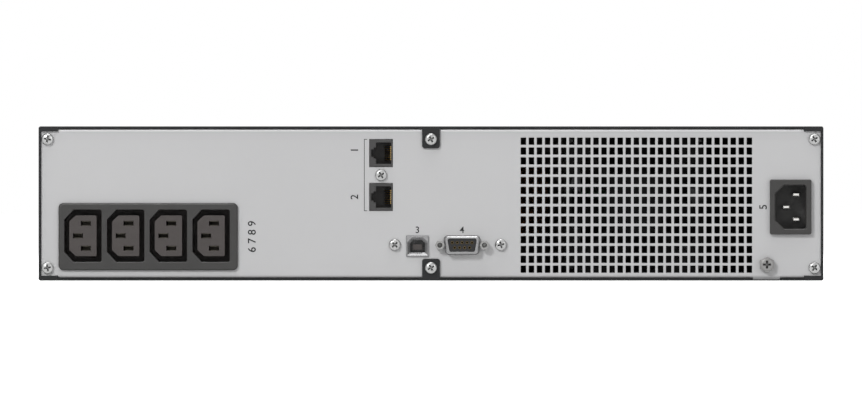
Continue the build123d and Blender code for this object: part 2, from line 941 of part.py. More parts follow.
ear_nut_mid = side_x - ear_nut_l / 2 - sheet_t / 2
with BuildPart() as ear_nuts:
    for side in (-1, 1):
        for into in ear_intos:
            for z in ear_zs:
                with Locations(Location((side * (inner_x - ear_nut_l / 2), at_y(into), z), (0, 90, 0))):
                    Cylinder(ear_nut_r, ear_nut_l)
                with Locations(Location((side * (side_x - sheet_t / 2), at_y(into), z), (0, 90, 0))):
                    Cylinder(ear_nut_neck_r, sheet_t)
                with Locations(Location((side * ear_nut_mid, at_y(into), z), (0, 90, 0))):
                    Cylinder(ear_hole_r, 3 * ear_nut_l, mode=Mode.SUBTRACT)
write(ear_nuts, "ear_nuts")

# ---------------------------------------------------------------- outlets
strip_face = panel_into - strip_proud
strip_back = strip_face + strip_deep
outlet_pins = [
    (x + dx, outlet_z + dz)
    for x in outlet_xs
    for dx, dz in (
        (outlet_pin_dx, pin_spacing / 2),
        (outlet_pin_dx, -pin_spacing / 2),
        (outlet_pin_dx - earth_offset, 0),
    )
]

with BuildPart() as outlet_frame:
    with BuildSketch(rear_plane(strip_face)):
        with Locations((strip_x, strip_z)):
            RectangleRounded(strip_w, strip_h, strip_r)
    extrude(amount=-strip_proud)
    chamfer(faces().sort_by(Axis.Y)[0].edges(), strip_bevel)
    with BuildSketch(rear_plane(panel_into)):
        with Locations((strip_x, strip_z)):
            body_w = strip_w - 2 * strip_lap - fit_gap
            body_h = strip_h - 2 * strip_lap - fit_gap
            RectangleRounded(body_w, body_h, strip_r)
    extrude(amount=-(strip_back - panel_into))
    for x in outlet_xs:
        well = keyed_face(port_plane(x, strip_face, outlet_z), well_w, well_h, well_r, *well_cut)
        extrude(well, amount=-strip_deep, mode=Mode.SUBTRACT)
    mouths = faces().sort_by(Axis.Y)[0].inner_wires()
    chamfer([edge for wire in mouths for edge in wire.edges()], well_bevel)
write(outlet_frame, "outlet_frame")

with BuildPart() as outlet_cores:
    for x in outlet_xs:
        nose_plane = port_plane(x, strip_face + core_setback, outlet_z)
        nose = keyed_face(nose_plane, core_w, core_h, core_r, *core_cut)
        extrude(nose, amount=-(well_deep + core_back_t / 2))
        back_w = well_w - 2 * core_gap
        back_h = well_h - 2 * core_gap
        back_plane = port_plane(x, strip_face + well_deep, outlet_z)
        back = keyed_face(back_plane, back_w, back_h, well_r, *well_cut)
        extrude(back, amount=-core_back_t)
    with BuildSketch(rear_plane(strip_face)):
        with Locations(*outlet_pins):
            Rectangle(outlet_slot_w, outlet_slot_h)
    extrude(amount=-(well_deep + 2 * core_back_t), mode=Mode.SUBTRACT)
write(outlet_cores, "outlet_cores")

fork_in = strip_face + fork_setback
fork_out = strip_face + well_deep + core_back_t
with BuildPart() as outlet_contacts:
    for cx, cz in outlet_pins:
        x0 = cx - tail_w / 2
        x1 = cx + tail_w / 2
        # Two sprung leaves, the web that joins them and the solder tail
        for side in (-1, 1):
            outer_z = cz + side * (outlet_slot_h / 2 - fork_play)
            slab(x0, x1, fork_in, fork_out, outer_z - side * fork_t, outer_z)
        web_half = outlet_slot_h / 2 - fork_play
        slab(x0, x1, fork_out - fork_web_t, fork_out, cz - web_half, cz + web_half)
        slab(x0, x1, fork_out - fork_web_t / 2, fork_out + tail_l, cz - tail_t / 2, cz + tail_t / 2)
write(outlet_contacts, "outlet_contacts")

# ---------------------------------------------------------------- inlet
inlet_face = panel_into - inlet_proud
inlet_back = panel_into + inlet_body_deep
pin_places = [
    (inlet_x + inlet_pin_dx, inlet_z + pin_spacing / 2),
    (inlet_x + inlet_pin_dx, inlet_z - pin_spacing / 2),
    (inlet_x + inlet_pin_dx - inlet_earth_offset, inlet_z),
]

with BuildPart() as inlet_body:
    with BuildSketch(rear_plane(inlet_face)):
        with Locations((inlet_x, inlet_z)):
            RectangleRounded(inlet_w, inlet_h, inlet_r)
    extrude(amount=-inlet_proud)
    fillet(faces().sort_by(Axis.Y)[0].edges(), inlet_edge_r)
    with BuildSketch(rear_plane(panel_into)):
        with Locations((inlet_x, inlet_z)):
            Rectangle(inlet_body_w, inlet_body_h)
    extrude(amount=-inlet_body_deep)
    cavity_plane = port_plane(inlet_x, inlet_face, inlet_z)
    cavity = keyed_face(cavity_plane, inlet_cav_w, inlet_cav_h, inlet_cav_r, *inlet_cav_cut)
    extrude(cavity, amount=-inlet_cav_deep, mode=Mode.SUBTRACT)
    mouth = faces().sort_by(Axis.Y)[0].inner_wires()[0]
    chamfer(mouth.edges(), inlet_bevel)
    with BuildSketch(rear_plane(inlet_face)):
        with Locations(*pin_places):
            Rectangle(inlet_pin_w, inlet_pin_t)
    extrude(amount=-2 * inlet_body_deep, mode=Mode.SUBTRACT)
    # Sprung wings that hold it in the panel
    for side in (-1, 1):
        slab(
            inlet_x - wing_w / 2,
            inlet_x + wing_w / 2,
            behind_into,
            behind_into + wing_l,
            inlet_z + side * inlet_body_h / 2,
            inlet_z + side * (inlet_body_h / 2 + wing_t),
        )
write(inlet_body, "inlet_body")

with BuildPart() as inlet_pins:
    with BuildSketch(rear_plane(inlet_face + inlet_pin_setback)):
        with Locations(*pin_places):
            Rectangle(inlet_pin_w, inlet_pin_t)
    extrude(amount=-(inlet_back - inlet_face - inlet_pin_setback))
    chamfer(faces().group_by(Axis.Y)[0].edges(), inlet_pin_bevel)
    for px, pz in pin_places:
        slab(
            px - inlet_tail_w / 2,
            px + inlet_tail_w / 2,
            inlet_back,
            inlet_back + tail_l,
            pz - tail_t / 2,
            pz + tail_t / 2,
        )
write(inlet_pins, "inlet_pins")

# ---------------------------------------------------------------- surge protection
jack_face = panel_into - jack_proud
jack_back = jack_face + jack_deep
for jack_name, z_mid in zip(jack_names, jack_z):
    with BuildPart() as surge_jack:
        jack_half = jack_h / 2
        z0 = z_mid - jack_half
        z1 = z_mid + jack_half
        slab(jack_x - jack_w / 2, jack_x + jack_w / 2, jack_face, jack_back, z0, z1)
        for x0, x1, height in ((jack_cav_x0, jack_cav_x1, jack_cav_h),) + jack_steps:
            slab(
                jack_x + x0,
                jack_x + x1,
                jack_face - jack_proud,
                jack_face + jack_cav_deep,
                z_mid - height / 2,
                z_mid + height / 2,
                mode=Mode.SUBTRACT,
            )
        front_edges = faces().sort_by(Axis.Y)[0].outer_wire().edges()
        chamfer(front_edges, jack_bevel)
    write(surge_jack, jack_name)

wire_outer = jack_cav_x1 - wire_deep
with BuildPart() as surge_jack_contacts:
    for z_mid in jack_z:
        for i in range(jack_wires):
            z = z_mid + (i - (jack_wires - 1) / 2) * jack_wire_pitch
            with BuildSketch(Plane(origin=(jack_x, at_y(jack_face), z), x_dir=(1, 0, 0), z_dir=(0, 0, 1))):
                with BuildLine():
                    Polyline(
                        (jack_cav_x1, wire_start),
                        (jack_cav_x1, wire_bend),
                        (jack_cav_x1 - wire_drop, wire_low),
                        (jack_cav_x1 - wire_drop, jack_cav_deep),
                        (wire_outer - wire_drop, jack_cav_deep),
                        (wire_outer - wire_drop, wire_low),
                        (wire_outer, wire_bend),
                        (wire_outer, wire_start),
                        close=True,
                    )
                make_face()
            extrude(amount=jack_wire_t / 2, both=True)
write(surge_jack_contacts, "surge_jack_contacts")

surge_board_x = jack_x + jack_w / 2
with BuildPart() as surge_board:
    slab(surge_board_x, surge_board_x + board_t, *surge_board_into, *surge_board_z)
write(surge_board, "surge_board")

surge_plate_x = surge_board_x + board_t
with BuildPart() as surge_bracket:
    outer_x = surge_plate_x + sheet_t
    low_z = surge_screw[1] - bracket_half_h
    high_z = surge_screw[1] + bracket_half_h
    slab(surge_plate_x, outer_x, behind_into, surge_bracket_into, low_z, high_z)
    inner_edge = surge_screw[0] - shank_r - bracket_half_h
    slab(inner_edge, outer_x, behind_into, behind_into + sheet_t, low_z, high_z)
    rod(*surge_screw, 0, screw_reach, shank_r, mode=Mode.SUBTRACT)
write(surge_bracket, "surge_bracket")

# ---------------------------------------------------------------- communication ports
comm_flange_z = tab_screw_z + shank_r + comm_screw_clear
comm_flange_top = comm_flange_z + panel_t
comm_board_z = comm_flange_top + comm_spacer_h
usb_face = panel_into - usb_proud
usb_back = usb_face + usb_deep
with BuildPart() as usb_shell:
    slab(usb_x - usb_w / 2, usb_x + usb_w / 2, usb_face, usb_back, usb_z - usb_h / 2, usb_z + usb_h / 2)
    usb_body_into = behind_into + panel_t
    slab(usb_x - usb_w / 2, usb_x + usb_w / 2, usb_body_into, usb_back, comm_board_z + board_t, usb_z)
    with BuildSketch(port_plane(usb_x, usb_face, usb_z)):
        Rectangle(usb_open_w, usb_open_h)
        chamfer(vertices().group_by(Axis.Y)[-1], usb_key)
    extrude(amount=-(usb_deep - usb_back_t), mode=Mode.SUBTRACT)
    mouth = faces().sort_by(Axis.Y)[0].inner_wires()[0]
    chamfer(mouth.edges(), usb_funnel)
write(usb_shell, "usb_shell")

with BuildPart() as usb_tongue:
    slab(
        usb_x - usb_tongue_w / 2,
        usb_x + usb_tongue_w / 2,
        usb_face + usb_tongue_setback,
        usb_back - usb_back_t,
        usb_z - usb_tongue_drop - usb_tongue_t / 2,
        usb_z - usb_tongue_drop + usb_tongue_t / 2,
    )
write(usb_tongue, "usb_tongue")

serial_rim_into = panel_into - serial_reach
serial_back = behind_into + serial_deep
inner_top_w = serial_top_w - 2 * serial_rim
inner_bottom_w = serial_bottom_w - 2 * serial_rim
inner_h = serial_h - 1.5 * serial_rim
with BuildPart() as serial_shell:
    shell_plane = port_plane(serial_x, serial_rim_into, serial_z)
    shell_face = d_face(shell_plane, serial_top_w, serial_bottom_w, serial_h, serial_r)
    extrude(shell_face, amount=-(behind_into - serial_rim_into))
    rim = faces().sort_by(Axis.Y)[0]
    chamfer(rim.edges(), serial_rim_bevel)
    with BuildSketch(port_plane(serial_x, behind_into, serial_z)):
        Rectangle(serial_plate_w, serial_plate_h)
    extrude(amount=-serial_plate_t)
    bore_face = d_face(shell_plane, inner_top_w, inner_bottom_w, inner_h, serial_inner_r)
    extrude(bore_face, amount=-2 * serial_deep, mode=Mode.SUBTRACT)
    for x in jackscrew_xs:
        rod(x, serial_z, behind_into, serial_back, jackscrew_stem_r + bore_gap, mode=Mode.SUBTRACT)
write(serial_shell, "serial_shell")

socket_points = [(serial_x + (i - 2) * serial_pitch, serial_z + serial_row / 2) for i in range(5)]
socket_points += [(serial_x + (i - 1.5) * serial_pitch, serial_z - serial_row / 2) for i in range(4)]
insulator_into = serial_rim_into + serial_setback
with BuildPart() as serial_insulator:
    insulator_plane = port_plane(serial_x, insulator_into, serial_z)
    insulator_face = d_face(
        insulator_plane,
        inner_top_w - shell_fit,
        inner_bottom_w - shell_fit,
        inner_h - shell_fit,
        serial_inner_r,
    )
    extrude(insulator_face, amount=-(behind_into + serial_plate_t - insulator_into))
    slab(
        serial_x - serial_body_w / 2,
        serial_x + serial_body_w / 2,
        behind_into + serial_plate_t,
        serial_back,
        comm_board_z + board_t,
        serial_z + serial_plate_h / 2,
    )
    for x, z in socket_points:
        rod(x, z, insulator_into - 1, serial_back - serial_end_wall, serial_socket_r, mode=Mode.SUBTRACT)
write(serial_insulator, "serial_insulator")

with BuildPart() as serial_contacts:
    for x, z in socket_points:
        socket_into = insulator_into + serial_socket_setback
        rod(x, z, socket_into, serial_back - serial_end_wall, serial_socket_r)
        rod(x, z, insulator_into, insulator_into + serial_pin_hole_l, serial_pin_hole_r, mode=Mode.SUBTRACT)
write(serial_contacts, "serial_contacts")

with BuildPart() as serial_standoffs:
    for x in jackscrew_xs:
        with BuildSketch(rear_plane(panel_into - jackscrew_l)):
            with Locations((x, serial_z)):
                RegularPolygon(jackscrew_af / 2, 6, major_radius=False)
        extrude(amount=-jackscrew_l)
        rod(x, serial_z, panel_into, behind_into + serial_plate_t + jackscrew_stem_l, jackscrew_stem_r)
        bore_end = behind_into + panel_t
        rod(x, serial_z, panel_into - jackscrew_l, bore_end, jackscrew_hole_r, mode=Mode.SUBTRACT)
write(serial_standoffs, "serial_standoffs")

comm_board_into = behind_into + sheet_t + bore_gap
with BuildPart() as comm_board:
    slab(*comm_x, comm_board_into, comm_into, comm_board_z, comm_board_z + board_t)
write(comm_board, "comm_board")

comm_notches = ((usb_x, usb_w / 2 + comm_notch), (serial_x, serial_plate_w / 2 + comm_notch))
with BuildPart() as comm_bracket:
    slab(*comm_x, behind_into, behind_into + sheet_t, comm_flange_z, comm_bracket_top)
    slab(*comm_x, behind_into, comm_into, comm_flange_z, comm_flange_top)
    for x in (comm_x[0] + comm_spacer_inset, comm_x[1] - comm_spacer_inset):
        for into in comm_spacer_into:
            post(x, into, comm_flange_top - panel_t / 2, comm_board_z, comm_spacer_r)
    for x, half in comm_notches:
        slab(
            x - half,
            x + half,
            0,
            behind_into + 2 * sheet_t,
            comm_flange_top + bore_gap,
            comm_bracket_top + sheet_t,
            mode=Mode.SUBTRACT,
        )
    for x, z in comm_points:
        rod(x, z, 0, screw_reach, shank_r, mode=Mode.SUBTRACT)
write(comm_bracket, "comm_bracket")

# ---------------------------------------------------------------- fan
fan_front = fan_into + fan_t
hub_into0 = fan_into + fan_flange_t + fan_end_gap
hub_into1 = fan_front - fan_end_gap

with BuildPart() as fan_frame:
    with BuildSketch(port_plane(fan_x, fan_into, fan_z)) as fan_end:
        RectangleRounded(fan_size, fan_size, fan_corner_r)
        with GridLocations(fan_hole_spacing, fan_hole_spacing, 2, 2):
            Circle(fan_hole_r, mode=Mode.SUBTRACT)
    extrude(amount=-fan_flange_t)
    extrude(fan_end.sketch.moved(Location((0, fan_t - fan_flange_t, 0))), amount=-fan_flange_t)
    rod(fan_x, fan_z, fan_into, fan_front, fan_size / 2 - fan_wall_inset)
    rod(fan_x, fan_z, fan_into - 1, fan_front + 1, fan_bore_r, mode=Mode.SUBTRACT)
    # Motor base, its struts and the bearing tube
    rod(fan_x, fan_z, fan_into, fan_into + motor_base_t, hub_r)
    with BuildSketch(port_plane(fan_x, fan_into, fan_z)):
        for i in range(strut_count):
            with PolarLocations((hub_r + fan_bore_r) / 2, 1, start_angle=45 + i * 360 / strut_count):
                Rectangle(fan_bore_r - hub_r + strut_w, strut_w)
    extrude(amount=-strut_t)
    rod(fan_x, fan_z, fan_into + motor_base_t / 2, fan_into + tube_l, tube_r)
    rod(fan_x, fan_z, fan_into + motor_base_t, fan_into + 2 * tube_l, bearing_r, mode=Mode.SUBTRACT)
write(fan_frame, "fan_frame")

with BuildPart() as fan_bearing:
    rod(fan_x, fan_z, fan_into + bearing_into, fan_into + tube_l, bearing_r)
    rod(fan_x, fan_z, fan_into, fan_into + 2 * tube_l, fan_shaft_r + run_gap, mode=Mode.SUBTRACT)
write(fan_bearing, "fan_bearing")

with BuildPart() as fan_stator:
    with BuildSketch(port_plane(fan_x, fan_into + stator_into, fan_z)):
        Circle(stator_yoke_r)
        for i in range(strut_count):
            with PolarLocations(pole_r, 1, start_angle=i * 360 / strut_count):
                Rectangle(pole_l, pole_w)
            with PolarLocations(pole_cap_r, 1, start_angle=i * 360 / strut_count):
                Rectangle(pole_cap_t, pole_cap_w)
        Circle(tube_r, mode=Mode.SUBTRACT)
    extrude(amount=-stator_l)
write(fan_stator, "fan_stator")

with BuildPart() as fan_impeller:
    rod(fan_x, fan_z, hub_into0, hub_into1, hub_r)
    blade_mid = at_y((hub_into0 + hub_into1) / 2)
    for i in range(blade_count):
        angle = math.radians(i * 360 / blade_count)
        outwards = Vector(math.cos(angle), 0, math.sin(angle))
        root = Vector(fan_x, blade_mid, fan_z) + outwards * (hub_r - 2 * hub_wall)
        with BuildSketch(Plane(origin=root, x_dir=(0, 1, 0), z_dir=outwards).rotated((0, 0, blade_pitch))):
            Rectangle(blade_chord, blade_t)
            fillet(vertices(), blade_t * blade_round)
        extrude(amount=blade_tip_r - hub_r + 4 * hub_wall)
    rod(fan_x, fan_z, hub_into0, hub_into1, blade_tip_r, mode=Mode.INTERSECT)
    rod(fan_x, fan_z, hub_into0 - hub_wall, hub_into1 - hub_wall, hub_r - hub_wall, mode=Mode.SUBTRACT)
    rod(fan_x, fan_z, hub_into1 - hub_wall - fan_end_gap, hub_into1 - boss_cap_t, bearing_r)
    rod(fan_x, fan_z, hub_into0, hub_into1 - boss_cap_t, fan_shaft_r, mode=Mode.SUBTRACT)
write(fan_impeller, "fan_impeller")

with BuildPart() as fan_shaft:
    rod(fan_x, fan_z, fan_into + motor_base_t + bore_gap, hub_into1 - boss_cap_t, fan_shaft_r)
write(fan_shaft, "fan_shaft")

plate_into = fan_front + sheet_t
with BuildPart() as fan_bracket:
    for side in (-1, 1):
        edge = fan_x + side * (fan_size / 2 - bracket_edge)
        column = fan_x + side * (fan_hole_spacing / 2 - bracket_column)
        hole_x = fan_x + side * fan_hole_spacing / 2
        foot_x = fan_x + side * bracket_foot_x
        foot_x0 = foot_x - bracket_foot_half
        foot_x1 = foot_x + bracket_foot_half
        foot_end = bracket_foot_into + bracket_foot_half + 1
        slab(column, edge, fan_front, plate_into, 2 * sheet_t, fan_z + fan_size / 2)
        inner_edge = foot_x - side * bracket_foot_half
        knee_z = standoff_top + bracket_foot_h
        slab(inner_edge, edge, fan_front, plate_into, standoff_top, knee_z)
        slab(foot_x0, foot_x1, fan_front, foot_end, standoff_top, standoff_top + sheet_t)
        post(
            foot_x,
            bracket_foot_into,
            standoff_top - 1,
            standoff_top + 2 * sheet_t,
            m4_r + bore_gap,
            mode=Mode.SUBTRACT,
        )
        for dz in (-fan_hole_spacing / 2, fan_hole_spacing / 2):
            rod(hole_x, fan_z + dz, fan_front - 1, plate_into + 1, m4_r + bore_gap, mode=Mode.SUBTRACT)
write(fan_bracket, "fan_bracket")

# ---------------------------------------------------------------- standoffs and inner screws
with BuildPart() as tray_standoffs:
    for x, into in standoff_points:
        post(x, into, 0, sheet_t, standoff_foot_r)
        post(x, into, sheet_t, standoff_top, standoff_r)
        post(x, into, sheet_t, standoff_top + 1, m4_r, mode=Mode.SUBTRACT)
write(tray_standoffs, "tray_standoffs")

m4_screw = pan_screw(m4_head_r, m4_head_h, m4_r, m4_l, recess_l, recess_w, recess_deep)
seat_z = {
    "board": standoff_top + board_t,
    "foot": standoff_top + clamp_t,
    "bracket": standoff_top + sheet_t,
}
seats = ["board"] * 4 + ["foot"] * 4 + ["bracket"] * 2 + ["foot"]
with BuildPart() as inner_screws:
    for (x, into), seat in zip(standoff_points, seats):
        with Locations((x, at_y(into), seat_z[seat])):
            add(m4_screw)
    for side_sign in (-1, 1):
        for dz in (-fan_hole_spacing / 2, fan_hole_spacing / 2):
            place = (fan_x + side_sign * fan_hole_spacing / 2, at_y(fan_front + sheet_t), fan_z + dz)
            with Locations(Location(place, (-90, 0, 0))):
                add(m4_screw)
write(inner_screws, "inner_screws")

# ---------------------------------------------------------------- transformer
with BuildPart() as transformer_core:
    with BuildSketch(rear_plane(iron_into - iron_stack / 2)):
        with Locations((iron_x, standoff_top + iron_h / 2)):
            Rectangle(iron_w, iron_h)
            for side in (-1, 1):
                with Locations((side * 1.5 * iron_leg, 0)):
                    Rectangle(iron_leg, iron_h - 2 * iron_leg, mode=Mode.SUBTRACT)
    extrude(amount=-iron_stack)
write(transformer_core, "transformer_core")

coil_in_x = iron_leg + coil_gap / 2
coil_in_y = iron_stack / 2 + coil_gap / 2
coil_h = iron_h - 2 * iron_leg - 2 * coil_end_gap
with BuildPart() as transformer_winding:
    with BuildSketch(Plane.XY.offset(standoff_top + iron_leg + coil_end_gap)):
        with Locations((iron_x, at_y(iron_into))):
            RectangleRounded(2 * (coil_in_x + coil_t), 2 * (coil_in_y + coil_t), coil_corner_r)
            Rectangle(2 * coil_in_x, 2 * coil_in_y, mode=Mode.SUBTRACT)
    extrude(amount=coil_h)
write(transformer_winding, "transformer_winding")

with BuildPart() as transformer_clamp:
    with BuildSketch(rear_plane(iron_into - clamp_w / 2)):
        with Locations((iron_x, standoff_top + (iron_h + clamp_t) / 2)):
            Rectangle(iron_w + 2 * clamp_t, iron_h + clamp_t)
        with Locations((iron_x, standoff_top + clamp_t / 2)):
            Rectangle(2 * (clamp_outer + clamp_foot), clamp_t)
        with Locations((iron_x, standoff_top + iron_h / 2)):
            Rectangle(iron_w, iron_h, mode=Mode.SUBTRACT)
    extrude(amount=-clamp_w)
    for x in foot_xs:
        for into in foot_intos:
            post(x, into, standoff_top - 1, standoff_top + 2 * clamp_t, m4_r + bore_gap, mode=Mode.SUBTRACT)
write(transformer_clamp, "transformer_clamp")

# ---------------------------------------------------------------- main board
board_top = standoff_top + board_t
with BuildPart() as main_board:
    slab(main_x0, main_x1, main_into0, main_into1, standoff_top, board_top)
    for x in main_hole_xs:
        for into in main_hole_intos:
            post(x, into, standoff_top - 1, board_top + 1, m4_r + bore_gap, mode=Mode.SUBTRACT)
write(main_board, "main_board")

sink_xs = [main_x0 + off for off in sink_from_edge]
sink_face = sink_into - sink_w / 2
fin_pitch = (sink_h - 2 * fin_margin) / (fin_count - 1)
with BuildPart() as heatsinks:
    for x in sink_xs:
        x0 = x - sink_l / 2
        x1 = x + sink_l / 2
        slab(x0, x1, sink_face, sink_face + sink_web_t, board_top, board_top + sink_h)
        for i in range(fin_count):
            z = board_top + fin_margin + i * fin_pitch
            slab(x0, x1, sink_face + sink_web_t / 2, sink_into + sink_w / 2, z - fin_t / 2, z + fin_t / 2)
write(heatsinks, "heatsinks")

lead_into = sink_face - lead_back
with BuildPart() as power_transistors:
    for x in sink_xs:
        for i in range(transistor_count):
            tx = x + (i - (transistor_count - 1) / 2) * transistor_pitch
            x0 = tx - transistor_w / 2
            x1 = tx + transistor_w / 2
            z0 = board_top + transistor_z[0]
            slab(x0, x1, sink_face - transistor_t, sink_face, z0, board_top + transistor_z[1])
            for dx in (-lead_pitch, 0, lead_pitch):
                lead_x = tx + dx - lead_w / 2
                slab(lead_x, lead_x + lead_w, lead_into, lead_into + lead_t, board_top, z0 + lead_t)
write(power_transistors, "power_transistors")

with BuildPart() as capacitors:
    for i in range(capacitor_count):
        x = main_x0 + capacitor_from_edge + i * capacitor_pitch
        post(x, capacitor_into, board_top, board_top + capacitor_h, capacitor_r)
    fillet(faces().group_by(Axis.Z)[-1].edges(), capacitor_edge_r)
write(capacitors, "capacitors")

with BuildPart() as relays:
    for i in range(relay_count):
        x = main_x0 + relay_from_edge + i * relay_pitch
        slab(x, x + relay_l, relay_into, relay_into + relay_w, board_top, board_top + relay_h)
write(relays, "relays")

fuse_x = main_x0 + fuse_from_edge
with BuildPart() as fuse:
    with Locations(Location((fuse_x, at_y(fuse_into), board_top + fuse_z), (0, 90, 0))):
        Cylinder(fuse_r, fuse_l)
    for x in (fuse_x - clip_off, fuse_x + clip_off):
        clip_into = fuse_into - clip_l / 2
        slab(x - clip_w / 2, x + clip_w / 2, clip_into, clip_into + clip_l, board_top, board_top + clip_h)
write(fuse, "fuse")

# ---------------------------------------------------------------- battery drawer
runner_end = front_into - sheet_t - runner_end_gap
with BuildPart() as drawer_runners:
    for side in (-1, 1):
        edge = drawer_x + side * (drawer_w / 2 + drawer_clear)
        outer = edge + side * runner_t
        slab(edge, outer, drawer_back_into, runner_end, sheet_t, sheet_t + runner_h)
        slab(edge - side * runner_shelf, outer, drawer_back_into, runner_end, sheet_t, drawer_z - part_gap)
write(drawer_runners, "drawer_runners")

plate_into0 = drawer_front_into
plate_into1 = plate_into0 + sheet_t
with BuildPart() as battery_drawer:
    slab(drawer_x0, drawer_x1, drawer_back_into, plate_into1, drawer_z, drawer_z + sheet_t)
    for x0, x1 in ((drawer_x0, drawer_x0 + sheet_t), (drawer_x1 - sheet_t, drawer_x1)):
        slab(x0, x1, drawer_back_into, plate_into1, drawer_z, drawer_z + drawer_side_h)
    slab(drawer_x0, drawer_x1, plug_into, drawer_back_into, drawer_z, drawer_z + drawer_side_h)
    slab(fascia_x0, fascia_x1, plate_into0, plate_into1, drawer_plate_z0, drawer_plate_z1)
    for x, z in knob_points:
        rod(x, z, plate_into0 - sheet_t, plate_into1 + sheet_t, knob_shank_r + bore_gap, mode=Mode.SUBTRACT)
write(battery_drawer, "battery_drawer")

battery_intos = [battery_into0 + i * (battery_h + battery_gap) for i in range(battery_count)]
battery_x0 = drawer_x - battery_l / 2
battery_x1 = drawer_x + battery_l / 2
terminal_z = battery_z1 - terminal_inset
terminal_spans = []
for x in (battery_x0 + terminal_inset, battery_x1 - terminal_inset):
    terminal_spans.append((x - faston_w / 2, x + faston_w / 2))
with BuildPart() as battery_cases:
    for into in battery_intos:
        back_into = into + battery_h
        slab(battery_x0, battery_x1, into, back_into, battery_z0, battery_z1)
        slab(
            battery_x0 + case_wall,
            battery_x1 - case_wall,
            into + cover_t,
            back_into - case_wall,
            battery_z0 + case_wall,
            battery_z1 - case_wall,
            mode=Mode.SUBTRACT,
        )
        for x0, x1 in terminal_spans:
            slab(
                x0,
                x1,
                into - faston_l,
                into + cover_t + 1,
                terminal_z - faston_t / 2,
                terminal_z + faston_t / 2,
                mode=Mode.SUBTRACT,
            )
write(battery_cases, "battery_cases")

cell_pitch = (battery_l - 2 * case_wall) / cell_count
plates_half = (cell_pitch - cell_wall) / 2 * plates_share
with BuildPart() as battery_plates:
    for into in battery_intos:
        for i in range(cell_count):
            cx = battery_x0 + case_wall + (i + 0.5) * cell_pitch
            slab(
                cx - plates_half,
                cx + plates_half,
                into + cover_t + plates_setback,
                into + battery_h - case_wall,
                battery_z0 + case_wall,
                battery_z1 - case_wall - plates_top_gap,
            )
write(battery_plates, "battery_plates")

with BuildPart() as battery_terminals:
    for into in battery_intos:
        for x0, x1 in terminal_spans:
            z0 = terminal_z - faston_t / 2
            slab(x0, x1, into - faston_l, into + cover_t, z0, z0 + faston_t)
write(battery_terminals, "battery_terminals")

plug_x0 = drawer_x - plug_w / 2
plug_x1 = drawer_x + plug_w / 2
plug_top = plug_z + plug_h / 2
plug_end = plug_into - plug_body_l
plug_pin_xs = (drawer_x - plug_pin_off, drawer_x + plug_pin_off)
with BuildPart() as battery_plug:
    slab(plug_x0, plug_x1, plug_end, plug_into, plug_z - plug_h / 2, plug_top)
    for x in plug_pin_xs:
        rod(x, plug_z, plug_into - plug_l, plug_into - plug_body_l / 2, plug_pin_r)
write(battery_plug, "battery_plug")

socket_face = plug_end - part_gap
socket_end = socket_foot_into - socket_foot_l
with BuildPart() as battery_socket:
    slab(plug_x0, plug_x1, socket_face - socket_l, socket_face, standoff_top, plug_top)
    slab(plug_x0, plug_x1, socket_end, socket_face, standoff_top, standoff_top + clamp_t)
    pin_hole_r = plug_pin_r + part_gap
    for x in plug_pin_xs:
        rod(x, plug_z, socket_face - socket_pin_l, socket_face + 1, pin_hole_r, mode=Mode.SUBTRACT)
    post(
        drawer_x,
        socket_foot_into,
        standoff_top - 1,
        standoff_top + 2 * clamp_t,
        m4_r + bore_gap,
        mode=Mode.SUBTRACT,
    )
write(battery_socket, "battery_socket")

# Drawer front moulding
fascia_z0 = drawer_plate_z0
fascia_z1 = drawer_plate_z1
knob_back = bezel_into - knob_l - knob_setback
with BuildPart() as battery_fascia:
    with BuildSketch(front_plane(plate_into1)):
        with Locations((-drawer_x, (fascia_z0 + fascia_z1) / 2)):
            RectangleRounded(fascia_x1 - fascia_x0, fascia_z1 - fascia_z0, fascia_corner_r)
    extrude(amount=bezel_into - plate_into1)
    fillet(faces().sort_by(Axis.Y)[-1].edges(), fascia_edge_r)
    slab(
        fascia_x0 + fascia_t,
        fascia_x1 - fascia_t,
        plate_into1 - sheet_t,
        bezel_into - fascia_t,
        fascia_z0 + fascia_t,
        fascia_z1 - fascia_t,
        mode=Mode.SUBTRACT,
    )
    for x, z in knob_points:
        rod(x, z, plate_into1, bezel_into - fascia_t / 2, knob_well_r + fascia_t)
        rod(x, z, knob_back, bezel_into + 1, knob_well_r, mode=Mode.SUBTRACT)
        rod(x, z, plate_into1 - 1, bezel_into, knob_shank_r + bore_gap, mode=Mode.SUBTRACT)
    # Finger pull
    slab(
        drawer_x - pull_w / 2 - fascia_t,
        drawer_x + pull_w / 2 + fascia_t,
        bezel_into - pull_deep - fascia_t,
        bezel_into - fascia_t / 2,
        mid_z - pull_h / 2 - fascia_t,
        mid_z + pull_h / 2 + fascia_t,
    )
    slab(
        drawer_x - pull_w / 2,
        drawer_x + pull_w / 2,
        bezel_into - pull_deep,
        bezel_into + 1,
        mid_z - pull_h / 2,
        mid_z + pull_h / 2,
        mode=Mode.SUBTRACT,
    )
write(battery_fascia, "battery_fascia")

knob_face = knob_back + part_gap
knob_crown = knob_face + knob_l
for knob_name, (x, z) in zip(("thumb_screw_left", "thumb_screw_right"), knob_points):
    with BuildPart() as thumb_screw:
        rod(x, z, knob_face, knob_crown, knob_r)
        chamfer(edges().filter_by(GeomType.CIRCLE), knob_chamfer)
        with BuildSketch(port_plane(x, knob_back, z)):
            with PolarLocations(knob_r, knurl_count):
                Circle(knurl_r)
        extrude(amount=-2 * knob_l, mode=Mode.SUBTRACT)
        rod(x, z, front_into - sheet_t - knob_thread_l, knob_face + 1, knob_shank_r)
        slab(
            x - knob_slot_l / 2,
            x + knob_slot_l / 2,
            knob_crown - knob_slot_deep,
            knob_crown + 1,
            z - knob_slot_w / 2,
            z + knob_slot_w / 2,
            mode=Mode.SUBTRACT,
        )
    write(thumb_screw, knob_name)

